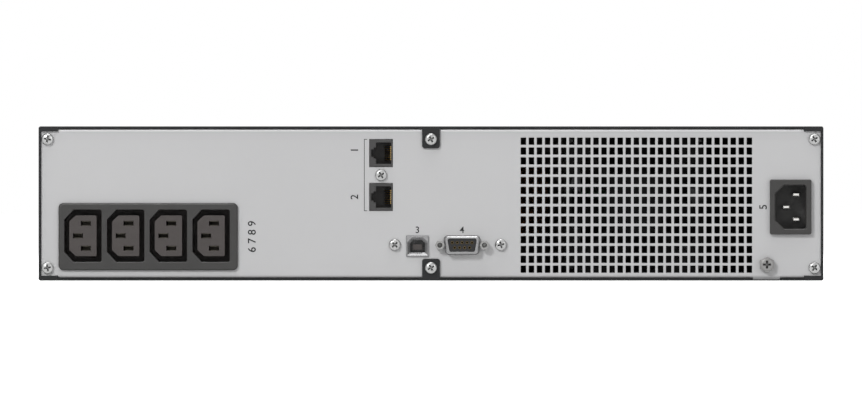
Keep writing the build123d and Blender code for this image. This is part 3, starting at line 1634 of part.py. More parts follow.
# ---------------------------------------------------------------- front moulding and controls
bezel_z0 = bezel_edge
bezel_z1 = case_h - bezel_edge
bezel_mid = (bezel_z0 + bezel_z1) / 2
key_zs = (mid_z + key_spacing / 2, mid_z - key_spacing / 2)
key_names = ("key_select", "key_enter")
board_z0 = mid_z - control_h / 2
board_z1 = board_z0 + control_h
post_xs = (
    -side_x + bezel_t + bezel_post_side[0],
    fascia_x1 + bezel_post_gap[0],
    control_x0 - bezel_post_gap[1],
    side_x - bezel_t - bezel_post_side[1],
)
post_zs = (bezel_post_inset_z, case_h - bezel_post_inset_z)
boss_points = [
    (x, z)
    for x in (control_x0 + boss_inset[0], control_x1 - boss_inset[0])
    for z in (board_z0 + boss_inset[1], board_z1 - boss_inset[1])
]
face_in = bezel_into - bezel_t
board_front = control_into + board_t

with BuildPart() as bezel:
    with BuildSketch(front_plane(front_into)):
        with Locations((0, bezel_mid)):
            Rectangle(case_w, bezel_z1 - bezel_z0)
    extrude(amount=bezel_d)
    fillet(faces().sort_by(Axis.Y)[-1].edges(), bezel_r)
    fillet(edges().filter_by(Axis.Y), bezel_corner_r)
    slab(
        -side_x + bezel_t,
        side_x - bezel_t,
        front_into - 1,
        face_in,
        bezel_z0 + bezel_t,
        bezel_z1 - bezel_t,
        mode=Mode.SUBTRACT,
    )
    # Posts that stand on the case's front wall, and bosses that carry the control board
    for x in post_xs:
        for z in post_zs:
            rod(x, z, front_into, face_in + 1, bezel_post_r)
    for x, z in boss_points:
        rod(x, z, board_front, face_in + 1, boss_r)
        rod(x, z, control_into - 1, board_front, boss_pin_r)
    # Openings: drawer front, display, keys, power button, air intake
    with BuildSketch(front_plane(front_into)):
        with Locations((-drawer_x, (fascia_z0 + fascia_z1) / 2)):
            RectangleRounded(
                fascia_x1 - fascia_x0 + 2 * fascia_gap,
                fascia_z1 - fascia_z0 + 2 * fascia_gap,
                fascia_corner_r + fascia_gap,
            )
        with Locations((-window_x, window_z)):
            Rectangle(window_w - 2 * window_lap, window_h - 2 * window_lap)
        for z in key_zs:
            with Locations((-key_x, z)):
                RectangleRounded(key_w + 2 * part_gap, key_h + 2 * part_gap, key_r + part_gap)
        with Locations((-power_x, mid_z)):
            Circle(power_r + part_gap)
        for i in range(louvre_count):
            with Locations((-louvre_x, mid_z + (i - (louvre_count - 1) / 2) * louvre_pitch)):
                RectangleRounded(louvre_w, louvre_h, louvre_r)
    extrude(amount=bezel_d + 1, mode=Mode.SUBTRACT)
    # Rebate that the display window drops into
    slab(
        window_x - window_w / 2,
        window_x + window_w / 2,
        bezel_into - window_t,
        bezel_into + 1,
        window_z - window_h / 2,
        window_z + window_h / 2,
        mode=Mode.SUBTRACT,
    )
write(bezel, "bezel")

with BuildPart() as display_window:
    slab(
        window_x - window_w / 2 + window_fit,
        window_x + window_w / 2 - window_fit,
        bezel_into - window_t,
        bezel_into,
        window_z - window_h / 2 + window_fit,
        window_z + window_h / 2 - window_fit,
    )
    fillet(edges().filter_by(Axis.Y), window_corner_r)
write(display_window, "display_window")

with BuildPart() as display_module:
    slab(
        window_x - window_w / 2 + display_inset,
        window_x + window_w / 2 - display_inset,
        board_front,
        board_front + display_t,
        window_z - window_h / 2 + display_inset,
        window_z + window_h / 2 - display_inset,
    )
write(display_module, "display_module")

with BuildPart() as control_board:
    slab(control_x0, control_x1, control_into, board_front, board_z0, board_z1)
    for x, z in boss_points:
        rod(x, z, control_into - 1, board_front + 1, boss_pin_r + bore_gap / 2, mode=Mode.SUBTRACT)
write(control_board, "control_board")

switch_points = [(key_x, z) for z in key_zs] + [(power_x, mid_z)]
with BuildPart() as key_switches:
    for x, z in switch_points:
        half = switch_size / 2
        slab(x - half, x + half, board_front, board_front + switch_body_l, z - half, z + half)
        rod(x, z, board_front + switch_body_l / 2, board_front + switch_l, switch_plunger_r)
write(key_switches, "key_switches")

stem_end = board_front + switch_l + part_gap
for key_name, z in zip(key_names, key_zs):
    with BuildPart() as key:
        with BuildSketch(front_plane(face_in - part_gap)):
            with Locations((-key_x, z)):
                RectangleRounded(key_w, key_h, key_r)
        extrude(amount=bezel_t + part_gap + key_proud)
        fillet(faces().sort_by(Axis.Y)[-1].edges(), key_edge_r)
        slab(
            key_x - key_w / 2 - key_flange,
            key_x + key_w / 2 + key_flange,
            face_in - part_gap - key_flange_t,
            face_in - part_gap,
            z - key_h / 2 - key_flange,
            z + key_h / 2 + key_flange,
        )
        rod(key_x, z, stem_end + key_travel, face_in - part_gap - key_flange_t / 2, key_stem_r)
    write(key, key_name)

with BuildPart() as power_button:
    rod(power_x, mid_z, face_in - part_gap, bezel_into + key_proud, power_r)
    fillet(faces().sort_by(Axis.Y)[-1].edges(), power_edge_r)
    rod(power_x, mid_z, face_in - part_gap - key_flange_t, face_in - part_gap, power_r + key_flange)
    rod(power_x, mid_z, stem_end + button_travel, face_in - part_gap - key_flange_t / 2, key_stem_r)
write(power_button, "power_button")
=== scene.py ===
"""The looks of a two-unit rackmount UPS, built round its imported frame.

Every length is in metres in the frame's own axes: the rear panel faces -Y, +X is to the
right seen from the rear and +Z is up. Depths and places are read from the frame's nodes.
"""

import logging
import math
from dataclasses import dataclass
from enum import Enum
from typing import Callable, Iterable, Sequence

import bmesh
import bpy
from mathutils import Matrix, Vector


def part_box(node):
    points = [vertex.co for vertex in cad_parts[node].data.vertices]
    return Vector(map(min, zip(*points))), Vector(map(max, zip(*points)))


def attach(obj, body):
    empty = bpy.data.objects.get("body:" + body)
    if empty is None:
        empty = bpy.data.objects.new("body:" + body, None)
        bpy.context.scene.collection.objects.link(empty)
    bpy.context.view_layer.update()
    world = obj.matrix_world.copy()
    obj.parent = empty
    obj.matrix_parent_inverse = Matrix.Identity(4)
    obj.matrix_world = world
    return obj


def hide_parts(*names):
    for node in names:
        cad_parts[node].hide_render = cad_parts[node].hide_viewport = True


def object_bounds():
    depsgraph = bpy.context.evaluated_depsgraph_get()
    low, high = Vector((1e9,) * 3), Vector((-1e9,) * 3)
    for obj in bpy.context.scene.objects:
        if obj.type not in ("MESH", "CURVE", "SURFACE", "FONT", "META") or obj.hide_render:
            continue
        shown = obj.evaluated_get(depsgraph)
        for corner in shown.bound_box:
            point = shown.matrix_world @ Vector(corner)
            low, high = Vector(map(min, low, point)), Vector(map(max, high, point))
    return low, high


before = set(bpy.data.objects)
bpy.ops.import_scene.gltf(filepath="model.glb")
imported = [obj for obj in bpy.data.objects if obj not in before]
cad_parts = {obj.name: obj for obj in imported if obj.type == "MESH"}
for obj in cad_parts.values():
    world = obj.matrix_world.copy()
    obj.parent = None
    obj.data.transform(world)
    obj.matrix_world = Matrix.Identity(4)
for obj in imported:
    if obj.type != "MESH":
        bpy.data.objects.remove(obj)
CAD_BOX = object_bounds()

LOG = logging.getLogger("ups")
MM = 0.001

Colour = tuple[float, float, float]
Point = tuple[float, float]
Outline = Sequence[Point]
Socket = bpy.types.NodeSocket
Material = bpy.types.Material
Mesh = bpy.types.Mesh
Piece = bpy.types.Object
Draft = bmesh.types.BMesh


class Facing(Enum):
    """Which way a piece's outer end looks, as turns in degrees about X and then Z."""

    UP = (0, 0)
    REAR = (90, 0)
    FRONT = (90, 180)

    def euler(self) -> tuple[float, float, float]:
        """The turns in radians."""
        return math.radians(self.value[0]), 0.0, math.radians(self.value[1])

    def place(self, centre: Sequence[float]) -> Matrix:
        """The matrix that takes local +Z outwards and the origin to a centre."""
        about_x, _, about_z = self.euler()
        turn = Matrix.Rotation(about_z, 4, "Z") @ Matrix.Rotation(about_x, 4, "X")
        return Matrix.Translation(Vector(centre)) @ turn


# ---------------------------------------------------------------- node graphs
class Graph:
    """A node tree with short calls that add and link its nodes."""

    def __init__(self, tree: bpy.types.NodeTree) -> None:
        """Holds the tree that the calls work on."""
        self.tree = tree

    def add(self, kind: str, **settings: object) -> bpy.types.Node:
        """Adds a node and sets its attributes.

        Args:
            kind: the node's type name.
            **settings: attribute names and values.

        Returns:
            The new node.
        """
        node = self.tree.nodes.new(kind)
        for name, value in settings.items():
            setattr(node, name, value)
        return node

    def feed(self, socket: Socket, value: object) -> None:
        """Links an output to a socket, or sets the socket's own value."""
        if isinstance(value, Socket):
            self.tree.links.new(value, socket)
        elif isinstance(value, tuple) and socket.type == "RGBA":
            socket.default_value = (*value, 1.0)
        else:
            socket.default_value = value

    def call(self, kind: str, output: object, inputs: dict[object, object], **settings: object) -> Socket:
        """Adds a node, feeds its inputs and returns one output.

        Args:
            kind: the node's type name.
            output: the wanted output's name or number.
            inputs: input names or numbers, and what feeds them.
            **settings: attribute names and values.

        Returns:
            The output socket.
        """
        node = self.add(kind, **settings)
        for name, value in inputs.items():
            self.feed(node.inputs[name], value)
        return node.outputs[output]

    def maths(self, operation: str, first: object, second: object = 0.0, clamp: bool = False) -> Socket:
        """One Math node on two values or outputs."""
        return self.call("ShaderNodeMath", 0, {0: first, 1: second}, operation=operation, use_clamp=clamp)


class Shader(Graph):
    """A material under construction, which reads Object coordinates."""

    def __init__(self, name: str) -> None:
        """Starts a principled material.

        Args:
            name: the material's name.
        """
        self.material = bpy.data.materials.new(name)
        self.material.use_nodes = True
        super().__init__(self.material.node_tree)
        self.surface = self.tree.nodes["Principled BSDF"]
        self.place = self.call("ShaderNodeTexCoord", "Object", {})

    def stretched(self, scale: Sequence[float], turn: Sequence[float] = (0, 0, 0)) -> Socket:
        """Object coordinates scaled, and turned in degrees, axis by axis."""
        angles = tuple(math.radians(a) for a in turn)
        inputs = {"Vector": self.place, "Scale": tuple(scale), "Rotation": angles}
        return self.call("ShaderNodeMapping", "Vector", inputs)

    def noise(self, size: float, detail: float = 2.0, place: Socket | None = None) -> Socket:
        """Noise whose grains are about `size` metres across."""
        source = self.place if place is None else place
        inputs = {"Vector": source, "Scale": 1.0 / size, "Detail": detail}
        return self.call("ShaderNodeTexNoise", "Fac", inputs)

    def cells(self, size: float, output: str = "Distance") -> Socket:
        """Voronoi cells about `size` metres across."""
        return self.call("ShaderNodeTexVoronoi", output, {"Vector": self.place, "Scale": 1.0 / size})

    def between(
        self, value: object, low: float, high: float, to_low: float = 0.0, to_high: float = 1.0
    ) -> Socket:
        """Maps a value from one range to another, clamped."""
        inputs = {"Value": value, "From Min": low, "From Max": high, "To Min": to_low, "To Max": to_high}
        return self.call("ShaderNodeMapRange", "Result", inputs)

    def blend(self, amount: object, first: object, second: object) -> Socket:
        """Mixes two colours."""
        return self.call("ShaderNodeMix", 2, {0: amount, 6: first, 7: second}, data_type="RGBA")

    def softened(self, radius: float) -> Socket:
        """The surface's normal with its edges rounded by a radius."""
        return self.call("ShaderNodeBevel", "Normal", {"Radius": radius}, samples=4)

    def edges(self, radius: float, low: float = 0.02, high: float = 0.25) -> Socket:
        """A mask that is 1 on edges and 0 on flats, by rounding the surface a little."""
        flat = self.call("ShaderNodeNewGeometry", "True Normal", {})
        inputs = {0: self.softened(radius), 1: flat}
        dot = self.call("ShaderNodeVectorMath", "Value", inputs, operation="DOT_PRODUCT")
        return self.between(self.maths("SUBTRACT", 1.0, dot), low, high)

    def painted_shade_mask(self, reach: float, alone: bool = True) -> Socket:
        """A mask for painted shade: 1 in the open, falling to 0 in recesses within a reach.

        Args:
            reach: how far away a surface still closes a recess.
            alone: only the piece itself counts, not its neighbours.

        Returns:
            The mask.
        """
        inputs = {"Distance": reach}
        shade = self.call("ShaderNodeAmbientOcclusion", "AO", inputs, samples=6, only_local=alone)
        return self.between(shade, 0.25, 0.8)

    def relief(self, height: object, depth: float, strength: float = 1.0, softened: float = 0.0) -> None:
        """Feeds a bump of `depth` metres to the surface, on edges softened by a radius."""
        inputs = {"Strength": strength, "Distance": depth, "Height": height}
        if softened:
            inputs["Normal"] = self.softened(softened)
        self.feed(self.surface.inputs["Normal"], self.call("ShaderNodeBump", "Normal", inputs))

    def finish(self, colour: object, roughness: object, metallic: float = 0.0, **extra: object) -> Material:
        """Sets the surface's main inputs and returns the material."""
        self.feed(self.surface.inputs["Base Color"], colour)
        self.feed(self.surface.inputs["Roughness"], roughness)
        self.surface.inputs["Metallic"].default_value = metallic
        for name, value in extra.items():
            self.feed(self.surface.inputs[name.replace("_", " ")], value)
        return self.material


def scaled(colour: Colour, factor: float) -> Colour:
    """A colour made lighter or darker by a factor."""
    return tuple(min(1.0, channel * factor) for channel in colour)


@dataclass(frozen=True)
class PowderCoat:
    """Baked powder coat on sheet steel: fine orange peel, slight tone drift, and a painted highlight on edges
    in patches.
    """

    name: str
    colour: Colour
    grain: float = 0.9 * MM
    depth: float = 0.03 * MM
    roughness: float = 0.45
    drift: float = 0.04
    # edge_light: how much paler the painted edge highlight makes the coat.
    edge_light: float = 1.25
    edge_radius: float = 0.5 * MM
    shine: float = 0.4
    # Heights of the lower and upper bend, where painted shade and a painted highlight go.
    painted_bend_heights: tuple[float, float] = (0.0, 0.0)

    def build(self) -> Material:
        """Builds the coat's material, with a painted highlight on an upper bend and painted shade on a lower
        one.
        """
        s = Shader(self.name)
        cloud = s.noise(60 * MM, 3)
        tone = s.blend(
            s.between(cloud, 0.3, 0.7),
            scaled(self.colour, 1 - self.drift),
            scaled(self.colour, 1 + self.drift),
        )
        # Painted highlight: edges go paler by edge_light, in patches.
        patchy = s.between(s.noise(4 * MM, 3), 0.35, 0.7, 0.4, 1.0)
        patchy_edge_highlight = s.maths("MULTIPLY", s.edges(self.edge_radius), patchy)
        tone = s.blend(patchy_edge_highlight, tone, scaled(self.colour, self.edge_light))
        # Painted highlight along the upper bend and painted shade along the lower bend, set by height.
        if any(self.painted_bend_heights):
            low, high = self.painted_bend_heights
            height = s.call("ShaderNodeSeparateXYZ", "Z", {0: s.place})
            for start, end, factor in (
                (high - 0.3 * MM, high + 0.4 * MM, 1.75),
                (low + 0.7 * MM, low - 0.9 * MM, 0.45),
            ):
                tone = s.blend(s.between(height, start, end), tone, scaled(self.colour, factor))
        peel = s.noise(self.grain, 2)
        speck = s.noise(self.grain * 0.3, 1)
        s.relief(s.maths("ADD", peel, s.maths("MULTIPLY", speck, 0.4)), self.depth, 0.6, self.edge_radius)
        rough = s.between(s.noise(self.grain * 2, 2), 0.3, 0.7, self.roughness - 0.05, self.roughness + 0.07)
        return s.finish(tone, rough, Specular_IOR_Level=self.shine)


@dataclass(frozen=True)
class Moulding:
    """Injection-moulded plastic: spark-eroded grain, a painted highlight on edges, faint flow marks."""

    name: str
    colour: Colour
    grain: float = 0.35 * MM
    depth: float = 0.02 * MM
    roughness: float = 0.5
    # edge_light: how much paler the painted edge highlight makes the plastic.
    edge_light: float = 1.5
    edge_radius: float = 0.35 * MM
    shine: float = 0.3

    def build(self) -> Material:
        """Builds the moulding's material."""
        s = Shader(self.name)
        flow = s.noise(14 * MM, 3, s.stretched((1, 1, 3)))
        tone = s.blend(s.between(flow, 0.3, 0.7), scaled(self.colour, 0.93), scaled(self.colour, 1.07))
        # Painted highlight on edges, paler by edge_light.
        tone = s.blend(s.edges(self.edge_radius), tone, scaled(self.colour, self.edge_light))
        pits = s.cells(self.grain, "Distance")
        s.relief(s.maths("ADD", pits, s.noise(self.grain * 0.5, 1)), self.depth, 0.5, self.edge_radius)
        rough = s.between(s.noise(3 * MM, 3), 0.3, 0.7, self.roughness - 0.06, self.roughness + 0.08)
        return s.finish(tone, rough, Specular_IOR_Level=self.shine)


@dataclass(frozen=True)
class PlatedMetal:
    """Plated or bare metal with fine rolling or turning marks, dulled patches and painted shade in its
    recesses.
    """

    name: str
    colour: Colour
    roughness: float = 0.28
    streak: Sequence[float] = (1, 1, 1)
    mark: float = 0.6 * MM
    depth: float = 0.01 * MM
    tarnish: float = 0.12
    edge_radius: float = 0.2 * MM
    # reach and alone set how far the painted recess shade reaches and whether neighbouring parts cast it too.
    reach: float = 1.6 * MM
    alone: bool = True

    def build(self) -> Material:
        """Builds the metal's material."""
        s = Shader(self.name)
        patch = s.between(s.noise(6 * MM, 4), 0.35, 0.75)
        tone = s.blend(s.maths("MULTIPLY", patch, self.tarnish), self.colour, scaled(self.colour, 0.55))
        # Painted shade: the colour falls towards 8% of itself in recesses within reach.
        tone = s.blend(s.painted_shade_mask(self.reach, self.alone), scaled(self.colour, 0.08), tone)
        marks = s.noise(self.mark, 2, s.stretched(self.streak))
        s.relief(marks, self.depth, 0.5, self.edge_radius)
        rough = s.maths(
            "ADD",
            s.between(marks, 0.3, 0.7, self.roughness - 0.05, self.roughness + 0.06),
            s.maths("MULTIPLY", patch, self.tarnish),
            clamp=True,
        )
        return s.finish(tone, rough, 1.0)


@dataclass(frozen=True)
class Galvanised:
    """Bright galvanised sheet with its spangle, and painted shade in recesses and under nearby parts."""

    name: str
    colour: Colour = (0.52, 0.53, 0.54)
    spangle: float = 7 * MM
    roughness: float = 0.38
    reach: float = 30 * MM

    def build(self) -> Material:
        """Builds the sheet's material."""
        s = Shader(self.name)
        level = s.call("ShaderNodeRGBToBW", 0, {0: s.cells(self.spangle, "Color")})
        tone = s.blend(level, scaled(self.colour, 0.82), scaled(self.colour, 1.14))
        # Painted shade from this sheet and its neighbours, within reach.
        tone = s.blend(s.painted_shade_mask(self.reach, False), scaled(self.colour, 0.04), tone)
        s.relief(s.noise(0.5 * MM, 2), 0.01 * MM, 0.4, 0.3 * MM)
        return s.finish(tone, s.between(level, 0, 1, self.roughness - 0.08, self.roughness + 0.1), 1.0)


@dataclass(frozen=True)
class CircuitBoard:
    """Solder-masked board: rows of tracks under the mask, pads and print."""

    name: str
    mask: Colour = (0.012, 0.10, 0.035)
    copper: Colour = (0.03, 0.17, 0.06)
    pad: Colour = (0.62, 0.6, 0.56)
    pitch: float = 2.54 * MM

    def build(self) -> Material:
        """Builds the board's material."""
        s = Shader(self.name)
        inputs = {
            "Vector": s.stretched((1, 1, 1), (25, 0, 0)),
            "Scale": 1.0 / (self.pitch * 4),
            "Mortar Size": 0.06,
        }
        line = s.between(s.call("ShaderNodeTexBrick", "Fac", inputs, offset=0.5), 0.2, 0.8)
        tone = s.blend(line, self.mask, self.copper)
        dots = s.between(s.cells(self.pitch, "Distance"), 0.16, 0.22, 1.0, 0.0)
        sparse = s.between(s.noise(self.pitch * 3, 1), 0.56, 0.58)
        pads = s.maths("MULTIPLY", dots, sparse)
        tone = s.blend(pads, tone, self.pad)
        s.relief(s.maths("ADD", line, pads), 0.05 * MM, 0.5, 0.1 * MM)
        return s.finish(tone, s.between(pads, 0, 1, 0.3, 0.4))


@dataclass(frozen=True)
class Banded:
    """Material with fine parallel bands: laminations, windings or ribbed sheet, with painted shade in
    recesses and under nearby parts.
    """

    name: str
    first: Colour
    second: Colour
    pitch: float
    direction: str = "Y"
    depth: float = 0.1 * MM
    roughness: float = 0.45
    metallic: float = 0.0

    def build(self) -> Material:
        """Builds the banded material."""
        s = Shader(self.name)
        inputs = {
            "Vector": s.place,
            "Scale": math.pi / (10 * self.pitch),
            "Distortion": 0.4,
            "Detail Scale": 40.0,
        }
        wave = s.call("ShaderNodeTexWave", "Fac", inputs, bands_direction=self.direction)
        tone = s.blend(wave, self.second, self.first)
        tone = s.blend(s.between(s.noise(9 * MM, 4), 0.5, 0.8, 0, 0.35), tone, scaled(self.second, 0.6))
        # Painted shade in recesses and under nearby parts, within 25 mm.
        tone = s.blend(s.painted_shade_mask(25 * MM, False), scaled(self.second, 0.2), tone)
        s.relief(wave, self.depth, 0.7)
        rough = s.between(s.noise(2 * MM, 2), 0.3, 0.7, self.roughness - 0.06, self.roughness + 0.08)
        return s.finish(tone, rough, self.metallic)


@dataclass(frozen=True)
class SmokedWindow:
    """Dark clear plastic over the display."""

    name: str
    tint: Colour = (0.50, 0.53, 0.57)

    def build(self) -> Material:
        """Builds the window's material."""
        s = Shader(self.name)
        s.relief(s.noise(20 * MM, 2), 0.01 * MM, 0.2, 0.3 * MM)
        rough = s.between(s.noise(8 * MM, 4), 0.45, 0.75, 0.04, 0.12)
        clear = {"Transmission_Weight": 0.98, "Specular_IOR_Level": 0.3, "IOR": 1.49}
        return s.finish(self.tint, rough, 0.0, **clear)


@dataclass(frozen=True)
class Lit:
    """A surface that glows faintly, such as a display segment or a lamp lens."""

    name: str
    colour: Colour
    strength: float = 0.8

    def build(self) -> Material:
        """Builds the glowing material."""
        s = Shader(self.name)
        tone = s.blend(s.noise(0.8 * MM, 2), scaled(self.colour, 0.85), self.colour)
        s.feed(s.surface.inputs["Emission Color"], tone)
        s.surface.inputs["Emission Strength"].default_value = self.strength
        return s.finish(tone, 0.4)


FINISH_LIST = (
    PowderCoat("case_coat", (0.016, 0.0165, 0.0175), 0.8 * MM, 0.05 * MM, 0.5, 0.06, 2.2, shine=0.2),
    PowderCoat(
        "panel_coat",
        (0.515, 0.515, 0.52),
        1.1 * MM,
        0.02 * MM,
        0.42,
        0.012,
        1.15,
        shine=0.3,
        painted_bend_heights=(2.4 * MM, 83.8 * MM),
    ),
    PlatedMetal("bright_zinc", (0.35, 0.352, 0.35), 0.24, (1, 1, 1), 0.5 * MM, 0.05 * MM, 0.3),
    PlatedMetal("inner_zinc", (0.45, 0.452, 0.45), 0.3, reach=25 * MM, alone=False),
    PlatedMetal("dull_nickel", (0.21, 0.208, 0.205), 0.36, (1, 1, 1), 0.5 * MM, 0.02 * MM, 0.2),
    PlatedMetal("standoff_nickel", (0.26, 0.26, 0.255), 0.3, (1, 1, 1), 0.4 * MM, 0.01 * MM, 0.15),
    PlatedMetal("tin_shell", (0.25, 0.25, 0.253), 0.27, (1, 0.2, 1), 0.5 * MM, 0.006 * MM, 0.1, reach=7 * MM),
    PlatedMetal("gold_flash", (0.66, 0.44, 0.16), 0.24, (1, 0.1, 1), 0.3 * MM, 0.004 * MM, 0.1),
    PlatedMetal("pin_metal", (0.62, 0.61, 0.59), 0.24, (1, 0.1, 1), 0.4 * MM, 0.006 * MM, 0.12),
    # The contacts' colour is set far darker than their bare metal: painted shade for the outlet wells.
    PlatedMetal("contact_metal", (0.13, 0.12, 0.10), 0.4, (1, 0.1, 1), 0.4 * MM, 0.006 * MM, 0.2),
    PlatedMetal("socket_metal", (0.16, 0.12, 0.06), 0.35, (1, 0.1, 1), 0.3 * MM, 0.004 * MM, 0.1),
    Galvanised("galvanised"),
    Moulding("strip_moulding", (0.043, 0.042, 0.041), roughness=0.38, edge_light=2.8),
    Moulding("core_moulding", (0.056, 0.049, 0.047), roughness=0.5),
    Moulding("inlet_moulding", (0.040, 0.039, 0.038), roughness=0.42, edge_light=2.2),
    Moulding("jack_moulding", (0.050, 0.049, 0.049), roughness=0.45),
    Moulding("black_moulding", (0.012, 0.012, 0.0125), roughness=0.5),
    Moulding("fan_moulding", (0.005, 0.005, 0.005), roughness=0.7, edge_light=1.3, shine=0.1),
    Moulding("bezel_moulding", (0.022, 0.0225, 0.024), 0.7 * MM, 0.05 * MM, 0.55, 1.35),
    Moulding("key_moulding", (0.12, 0.125, 0.13), roughness=0.38),
    Moulding("red_moulding", (0.32, 0.035, 0.025), roughness=0.4),
    Moulding("nylon", (0.60, 0.60, 0.55), 0.5 * MM, 0.02 * MM, 0.45, 1.1),
    Moulding("battery_shell", (0.020, 0.020, 0.021), 0.6 * MM, 0.03 * MM, 0.6, 1.4, shine=0.15),
    Moulding("component", (0.025, 0.025, 0.027), 0.4 * MM, 0.02 * MM, 0.35, 1.6),
    Moulding("relay_shell", (0.02, 0.05, 0.16), 0.4 * MM, 0.01 * MM, 0.3, 1.5),
    CircuitBoard("board"),
    PlatedMetal("aluminium", (0.50, 0.505, 0.51), 0.36, (0.1, 1, 1), 0.4 * MM, 0.02 * MM, 0.1, reach=6 * MM),
    PlatedMetal("lead", (0.28, 0.28, 0.30), 0.5, (1, 1, 0.2), 0.8 * MM, 0.04 * MM, 0.3),
    PlatedMetal("bronze", (0.30, 0.21, 0.11), 0.42, (1, 1, 1), 0.3 * MM, 0.02 * MM, 0.2),
    Banded("laminations", (0.17, 0.15, 0.14), (0.05, 0.045, 0.045), 0.5 * MM, "Y", 0.05 * MM, 0.5, 0.6),
    Banded("winding", (0.50, 0.21, 0.08), (0.20, 0.07, 0.025), 0.9 * MM, "Z", 0.3 * MM, 0.3, 0.7),
    SmokedWindow("window"),
    Lit("display_back", (0.02, 0.05, 0.075), 0.25),
    Lit("segments", (0.75, 0.86, 0.92), 1.6),
    Lit("status_lamp", (0.10, 0.75, 0.20), 0.9),
    Moulding("print_ink", (0.012, 0.012, 0.013), 0.5 * MM, 0.004 * MM, 0.5, 1.0, 0.02 * MM),
    Moulding("print_white", (0.62, 0.63, 0.64), 0.5 * MM, 0.004 * MM, 0.5, 1.0, 0.02 * MM),
)
FINISHES = {finish.name: finish for finish in FINISH_LIST}


class Paint:
    """Builds each finish once and puts it on pieces and frame nodes."""

    def __init__(self) -> None:
        """Starts with nothing built."""
        self.built: dict[str, Material] = {}

    def get(self, name: str) -> Material:
        """Returns the material of a named finish, building it at its first use."""
        if name not in self.built:
            self.built[name] = FINISHES[name].build()
        return self.built[name]

    def dress(self, obj: Piece, name: str) -> None:
        """Puts one finish on every slot of an object."""
        if not obj.material_slots:
            obj.data.materials.append(self.get(name))
        for slot in obj.material_slots:
            slot.material = self.get(name)

    def put(self, piece: Piece, finish: str, body: str, slot: str, *nodes: str) -> None:
        """Dresses a piece, rides it on a body and hides the frame nodes it stands for."""
        self.dress(piece, finish)
        place_on(piece, body, slot, *nodes)

    def dress_nodes(self, finishes: dict[str, str]) -> None:
        """Puts finishes on frame nodes.

        Args:
            finishes: finish name to node names with spaces between them.
        """
        for name, nodes in finishes.items():
            for node in nodes.split():
                self.dress(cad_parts[node], name)
            LOG.info("%s: %s", name, nodes)


# ---------------------------------------------------------------- mesh building
def new_piece(name: str, mesh: Mesh) -> Piece:
    """Links a new object at the origin."""
    obj = bpy.data.objects.new(name, mesh)
    bpy.context.scene.collection.objects.link(obj)
    return obj


def piece_from(name: str, build: Callable[[Draft], None]) -> Piece:
    """Makes a piece whose mesh a function fills, with its normals turned outwards.

    Args:
        name: the piece's name.
        build: fills an empty bmesh.

    Returns:
        The linked object.
    """
    bm = bmesh.new()
    build(bm)
    bmesh.ops.recalc_face_normals(bm, faces=bm.faces)
    mesh = bpy.data.meshes.new(name)
    bm.to_mesh(mesh)
    bm.free()
    return new_piece(name, mesh)


def settle(obj: Piece) -> Piece:
    """Replaces an object's mesh with what its modifiers make of it, and drops them."""
    bpy.context.view_layer.update()
    graph = bpy.context.evaluated_depsgraph_get()
    mesh = bpy.data.meshes.new_from_object(obj.evaluated_get(graph), depsgraph=graph)
    mesh.name = obj.name
    obj.modifiers.clear()
    if obj.type == "MESH":
        obj.data = mesh
        return obj
    solid = new_piece(obj.name + "_mesh", mesh)
    mesh.transform(obj.matrix_world)
    bpy.data.objects.remove(obj)
    return solid


def shaded(obj: Piece, angle: float = 35.0) -> Piece:
    """Shades an object smooth, except across edges sharper than an angle in degrees."""
    obj.data.shade_smooth()
    obj.data.set_sharp_from_angle(angle=math.radians(angle))
    return obj


def rounded(obj: Piece, width: float, segments: int = 3, angle: float = 30.0) -> Piece:
    """Rounds an object's sharp edges for good and shades it smooth.

    Args:
        obj: the mesh object.
        width: the rounding's width.
        segments: steps across each rounded edge.
        angle: edges sharper than this are rounded, in degrees.

    Returns:
        The same object.
    """
    bevel = obj.modifiers.new("edges", "BEVEL")
    bevel.width = width
    bevel.segments = segments
    bevel.limit_method = "ANGLE"
    bevel.angle_limit = math.radians(angle)
    settle(obj)
    return shaded(obj, 40.0)


def place_on(obj: Piece, body: str, slot: str, *nodes: str) -> Piece:
    """Rides a piece on a body and hides the frame nodes it stands for."""
    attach(obj, body)
    if nodes:
        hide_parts(*nodes)
    LOG.info("piece %s on %s", obj.name, body)
    return obj


def turned(bm: Draft, profile: Outline, place: Matrix, steps: int = 40) -> None:
    """Adds a closed body turned about its own Z axis.

    Args:
        bm: the mesh to add to.
        profile: radius and height pairs, from the axis back to the axis.
        place: where the body's own axes go.
        steps: how many sides the turning has.
    """
    rings: list[list[bmesh.types.BMVert]] = []
    for radius, height in profile:
        if radius < 1e-7:
            rings.append([bm.verts.new(place @ Vector((0, 0, height)))])
            continue
        angles = [2 * math.pi * i / steps for i in range(steps)]
        corners = [Vector((radius * math.cos(a), radius * math.sin(a), height)) for a in angles]
        rings.append([bm.verts.new(place @ corner) for corner in corners])
    for low, high in zip(rings, rings[1:]):
        for i in range(steps):
            j = (i + 1) % steps
            if len(low) == 1:
                bm.faces.new((low[0], high[i], high[j]))
            elif len(high) == 1:
                bm.faces.new((low[i], high[0], low[j]))
            else:
                bm.faces.new((low[i], high[i], high[j], low[j]))


def block(bm: Draft, low: Vector, high: Vector) -> list[bmesh.types.BMVert]:
    """Adds a box between two corners and returns its vertices."""
    made = bmesh.ops.create_cube(bm, size=1.0)["verts"]
    size = high - low
    middle = (high + low) / 2
    for vert in made:
        vert.co = Vector(tuple(vert.co[i] * size[i] + middle[i] for i in range(3)))
    return made


